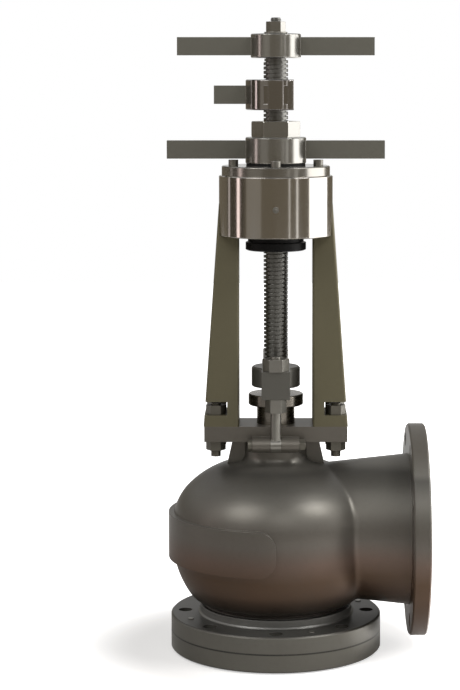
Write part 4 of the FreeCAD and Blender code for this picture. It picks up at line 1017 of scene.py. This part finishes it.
@dataclass
class BearingHead:
    """The bearing housing on top of the yoke, and the bearings that it hides."""

    body: str = "valve"

    def build(self, shop: Workshop) -> None:
        """Dresses the head.

        Args:
            shop: the workshop that makes the pieces.
        """
        shop.dress("bearing_housing", Finishes.POLISHED, self.body)
        shop.dress("housing_cap", Finishes.CAP, self.body)
        shop.dress("cap_screws", Finishes.FASTENER, self.body)
        shop.dress("grease_nipple", Finishes.FASTENER, self.body)
        shop.dress("dust_ring", Finishes.BLACK, self.body)
        shop.dress("shaft_seal", Finishes.BLACK, self.body)
        for side in ("lower", "upper"):
            for kind in ("housing_washer", "shaft_washer", "roller_set"):
                shop.paint(f"{side}_{kind}", Finishes.BEARING)


@dataclass
class DriveHandle:
    """The stem nut with the bar handle that turns it."""

    body: str = "drive"

    def build(self, shop: Workshop) -> None:
        """Dresses the drive.

        Args:
            shop: the workshop that makes the pieces.
        """
        shop.dress("drive_handle", Finishes.DRIVE_BAR, self.body)
        shop.dress("drive_handle_nut", Finishes.HUB, self.body, NUT_ANGLE)
        shop.dress("stem_nut", Finishes.BRONZE, self.body)
        shop.paint("drive_handle_key", Finishes.FASTENER)


@dataclass
class LockLever:
    """The threaded lever that locks the stem."""

    body: str = "lock"

    def build(self, shop: Workshop) -> None:
        """Dresses the lever.

        Args:
            shop: the workshop that makes the pieces.
        """
        shop.dress("lock_lever", Finishes.LEVER, self.body)


@dataclass
class StemAssembly:
    """The rising stem with its plug below and its handle on top."""

    body: str = "stem_group"
    thread: Thread = Thread(0.020, 0.0035, 0.007, True)
    low: float = 0.118
    thread_low: float = 0.472
    shoulder: float = 0.970
    seat_radius: float = 0.016
    seat_top: float = 1.0085
    end_radius: float = 0.0088
    top: float = 1.036
    end_thread: Thread = Thread(0.0088, 0.0011, 0.002)
    foot_edge: float = 0.0015
    run_out: float = 0.003
    shoulder_edge: float = 0.0005
    end_edge: float = 0.001
    end_margin: float = 0.002
    low_margin: float = 0.3
    high_margin: float = 0.4

    def build(self, shop: Workshop) -> None:
        """Makes the threaded stem and dresses what it carries.

        Args:
            shop: the workshop that makes the pieces.
        """
        crest = self.thread.crest
        core = crest - self.thread.depth
        end_core = self.end_radius - self.end_thread.depth
        rod = shop.lathe([
            (0.0, self.low),
            (crest - self.foot_edge, self.low),
            (crest, self.low + self.foot_edge),
            (crest, self.thread_low - self.run_out),
            (core, self.thread_low),
            (core, self.shoulder - self.shoulder_edge),
            (self.seat_radius, self.shoulder),
            (self.seat_radius, self.seat_top),
            (end_core, self.seat_top),
            (end_core, self.top - self.end_edge),
            (end_core - self.end_edge, self.top),
            (0.0, self.top),
        ])
        material = shop.finishes.material(Finishes.STEM)
        pitch = self.thread.pitch
        foot = [(0.0, 0.0, 0.0)]
        main = self.thread.ridges(
            "stem_thread", self.thread_low + pitch * self.low_margin,
            self.shoulder - pitch * self.high_margin, foot, material,
        )
        end = self.end_thread.ridges(
            "stem_end_thread", self.seat_top + self.end_margin, self.top - self.end_margin,
            foot, material,
        )
        whole = shop.merge(rod, main, end)
        shop.add("threaded_stem", whole, Finishes.STEM, self.body, ["stem"])
        shop.dress("plug", Finishes.HARD, self.body)
        shop.paint("plug_pin", Finishes.STEM)
        shop.dress("top_handle", Finishes.TOP_BAR, self.body)
        shop.dress("top_handle_nut", Finishes.HUB, self.body, NUT_ANGLE)
        shop.dress("top_handle_washer", Finishes.FASTENER, self.body)
        shop.paint("top_handle_key", Finishes.FASTENER)


@dataclass(frozen=True)
class Lamp:
    """A rectangular studio lamp that faces the valve."""

    name: str
    place: Point
    width: float
    height: float
    power: float
    colour: Colour = (1.0, 1.0, 1.0)


@dataclass
class Studio:
    """The floor, the lamps, the white surroundings and the photograph's camera."""

    target: Point = (0.0, 0.0, 0.5)
    lamps: tuple[Lamp, ...] = (
        Lamp("right_lamp", (2.6, 0.34, 0.75), 2.7, 2.4, 54.0),
        Lamp("near_right_strip", (1.18, -2.32, 0.75), 0.12, 2.4, 0.7),
        Lamp("mid_right_strip", (1.77, -1.90, 0.75), 0.18, 2.4, 1.3),
        Lamp("left_strip", (-2.4, -0.42, 0.75), 0.30, 2.4, 4.2, (1.0, 0.84, 0.84)),
        Lamp("far_left_strip", (-2.3, 0.7, 0.75), 0.20, 2.4, 1.0, (1.0, 0.92, 0.92)),
        Lamp("soft_left_panel", (-1.85, -1.85, 0.75), 1.5, 2.4, 1.3),
        Lamp("high_left_lamp", (-1.3, -1.2, 2.2), 1.2, 1.2, 25.0),
        Lamp("high_right_lamp", (1.5, -0.7, 2.2), 0.9, 0.9, 30.0),
        Lamp("front_lamp", (0.6, -3.0, 2.7), 1.6, 1.2, 13.0),
    )
    pitch_down: float = 2.9
    camera_place: Point = (0.0, -3.320, 0.934)
    lens: float = 105.9
    sensor: float = 36.0
    shift: Span = (-0.0664, -0.2348)
    room_tones: Tones = (
        (0.0, (0.11, 0.08, 0.055)),
        (0.46, (0.17, 0.145, 0.105)),
        (0.56, (0.20, 0.18, 0.145)),
        (0.75, (0.55, 0.55, 0.55)),
        (0.92, (0.42, 0.42, 0.42)),
        (1.0, (0.18, 0.18, 0.18)),
    )
    backdrop_edge: Span = (0.965, 0.995)
    dim_side: Span = (0.85, 0.96)
    dim_share: float = 0.6
    floor_half: float = 6.0
    # Painted shade and light on the floor: its paint is darker to the left of the valve and
    # lighter to the right.
    shaded_floor: Colour = (0.45, 0.44, 0.425)
    lit_floor: Colour = (0.9, 0.88, 0.86)
    shaded_side: Span = (-0.35, 0.35)
    shadow_reach: Span = (0.22, 0.42)
    floor_behind: Span = (0.3, 1.5)
    # A patch right of the base glows for glossy rays only: a painted reflection, not a lamp.
    patch_left: Span = (0.25, 0.3)
    patch_right: Span = (0.5, 0.8)
    patch_front: Span = (-0.16, -0.08)
    patch_back: Span = (0.1, 0.3)
    patch_glow: float = 4.0
    # shaded_mirror dims the floor's reflections on its left as painted shade; lit_glow is
    # painted light, extra glow to the camera on the floor's right.
    shaded_mirror: float = 0.4
    near_glow: float = 0.4
    lit_glow: float = 0.24
    far_glow: float = 0.8

    def build(self) -> None:
        """Sets up everything that isn't part of the valve."""
        self._camera()
        self._world()
        self._floor()
        for lamp in self.lamps:
            self._light(lamp)
        bpy.context.scene.view_settings.view_transform = "Standard"

    def _camera(self) -> None:
        """Adds the camera at the photograph's place."""
        data = bpy.data.cameras.new("camera")
        data.lens = self.lens
        data.sensor_width = self.sensor
        data.shift_x, data.shift_y = self.shift
        camera = bpy.data.objects.new("camera", data)
        camera.location = self.camera_place
        camera.rotation_euler = (math.radians(90.0 - self.pitch_down), 0.0, 0.0)
        bpy.context.scene.collection.objects.link(camera)
        bpy.context.scene.camera = camera

    def _light(self, lamp: Lamp) -> None:
        """Adds one lamp, turned towards the valve.

        Args:
            lamp: the lamp's place, size and power.
        """
        data = bpy.data.lights.new(lamp.name, "AREA")
        data.shape = "RECTANGLE"
        data.size, data.size_y = lamp.width, lamp.height
        data.energy = lamp.power
        data.color = lamp.colour
        light = bpy.data.objects.new(lamp.name, data)
        light.location = lamp.place
        away = Vector(lamp.place) - Vector(self.target)
        light.rotation_mode = "QUATERNION"
        light.rotation_quaternion = away.to_track_quat("Z", "Y")
        bpy.context.scene.collection.objects.link(light)

    def _world(self) -> None:
        """Makes a plain grey room that the camera sees as white."""
        world = bpy.data.worlds.new("studio")
        world.use_nodes = True
        tree = NodeTree(world.node_tree)
        camera, _, mirrored = tree.rays()
        way = tree.node("ShaderNodeTexCoord", output="Generated")
        side, depth, height = tree.axes(way)
        room = tree.node(
            "ShaderNodeValToRGB", {"stops": self.room_tones}, {0: height * 0.5 + 0.5}
        )
        dim = 1.0 - (0.0 - side).ramped(*self.dim_side) * self.dim_share
        room = tree.node(
            "ShaderNodeMix", {"data_type": "RGBA", "blend_type": "MULTIPLY"},
            {0: 1.0, 6: room, 7: dim}, output=2,
        )
        backdrop = mirrored * depth.ramped(*self.backdrop_edge)
        shade = tree.mix(camera.atleast(backdrop), room, (1.0, 1.0, 1.0))
        light = tree.node("ShaderNodeBackground", inputs={"Color": shade, "Strength": 1.0})
        tree.node("ShaderNodeOutputWorld", inputs={"Surface": light})
        bpy.context.scene.world = world

    def _floor(self) -> None:
        """Lays a pale floor that shows as white and keeps the shadow, with painted shade on
        its left, painted light on its right and a patch that glows only in reflections.
        """
        shape = bmesh.new()
        bmesh.ops.create_grid(shape, x_segments=1, y_segments=1, size=self.floor_half)
        mesh = bpy.data.meshes.new("floor")
        shape.to_mesh(mesh)
        shape.free()
        material = bpy.data.materials.new("pale_floor")
        material.use_nodes = True
        tree = NodeTree(material.node_tree)
        camera, glossy, mirrored = tree.rays()
        place = tree.node("ShaderNodeTexCoord", output="Object")
        across, along = tree.axes(place, "XY")
        far = ((across * across + along * along) ** 0.5).ramped(*self.shadow_reach)
        # painted shade: the floor's paint is darker on the left and lighter on the right
        lit = across.ramped(*self.shaded_side)
        paint = tree.node(
            "ShaderNodeBsdfDiffuse",
            inputs={"Color": tree.mix(lit, self.shaded_floor, self.lit_floor)},
        )
        # painted shade: the floor behind the valve shows weaker in reflections on the left
        share = lit * (1.0 - self.shaded_mirror) + self.shaded_mirror
        behind = mirrored * along.ramped(*self.floor_behind) * share
        # painted light: the camera sees more glow on the floor's right
        seen = camera * (far * self.far_glow + lit * self.lit_glow + self.near_glow)
        # painted reflection: a patch right of the base that glows only for glossy rays
        wide = across.ramped(*self.patch_left) * (1.0 - across.ramped(*self.patch_right))
        deep = along.ramped(*self.patch_front) * (1.0 - along.ramped(*self.patch_back))
        painted_reflection_glow = glossy * wide * deep * self.patch_glow
        glow = tree.node(
            "ShaderNodeEmission", inputs={"Strength": seen.atleast(behind + painted_reflection_glow)}
        )
        surface = tree.node("ShaderNodeAddShader", inputs={0: paint, 1: glow})
        tree.node("ShaderNodeOutputMaterial", inputs={"Surface": surface})
        mesh.materials.append(material)
        floor = bpy.data.objects.new("floor", mesh)
        bpy.context.scene.collection.objects.link(floor)
        floor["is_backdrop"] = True


def corners() -> list[list[float]]:
    """The shown object's box.

    Returns:
        Its lowest and highest corners as plain lists.
    """
    return [list(corner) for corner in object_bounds()]


def main() -> None:
    """Builds the valve's pieces and its studio in order."""
    logging.basicConfig(level=logging.INFO, format="%(name)s %(message)s")
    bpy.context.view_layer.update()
    shop = Workshop(Finishes())
    for part in (
        Casting(), Gland(), Yoke(), BearingHead(), DriveHandle(), LockLever(), StemAssembly(),
    ):
        part.build(shop)
        LOG.info("%s done", type(part).__name__)
    Studio().build()
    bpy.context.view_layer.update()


if __name__ == "__main__":
    main()
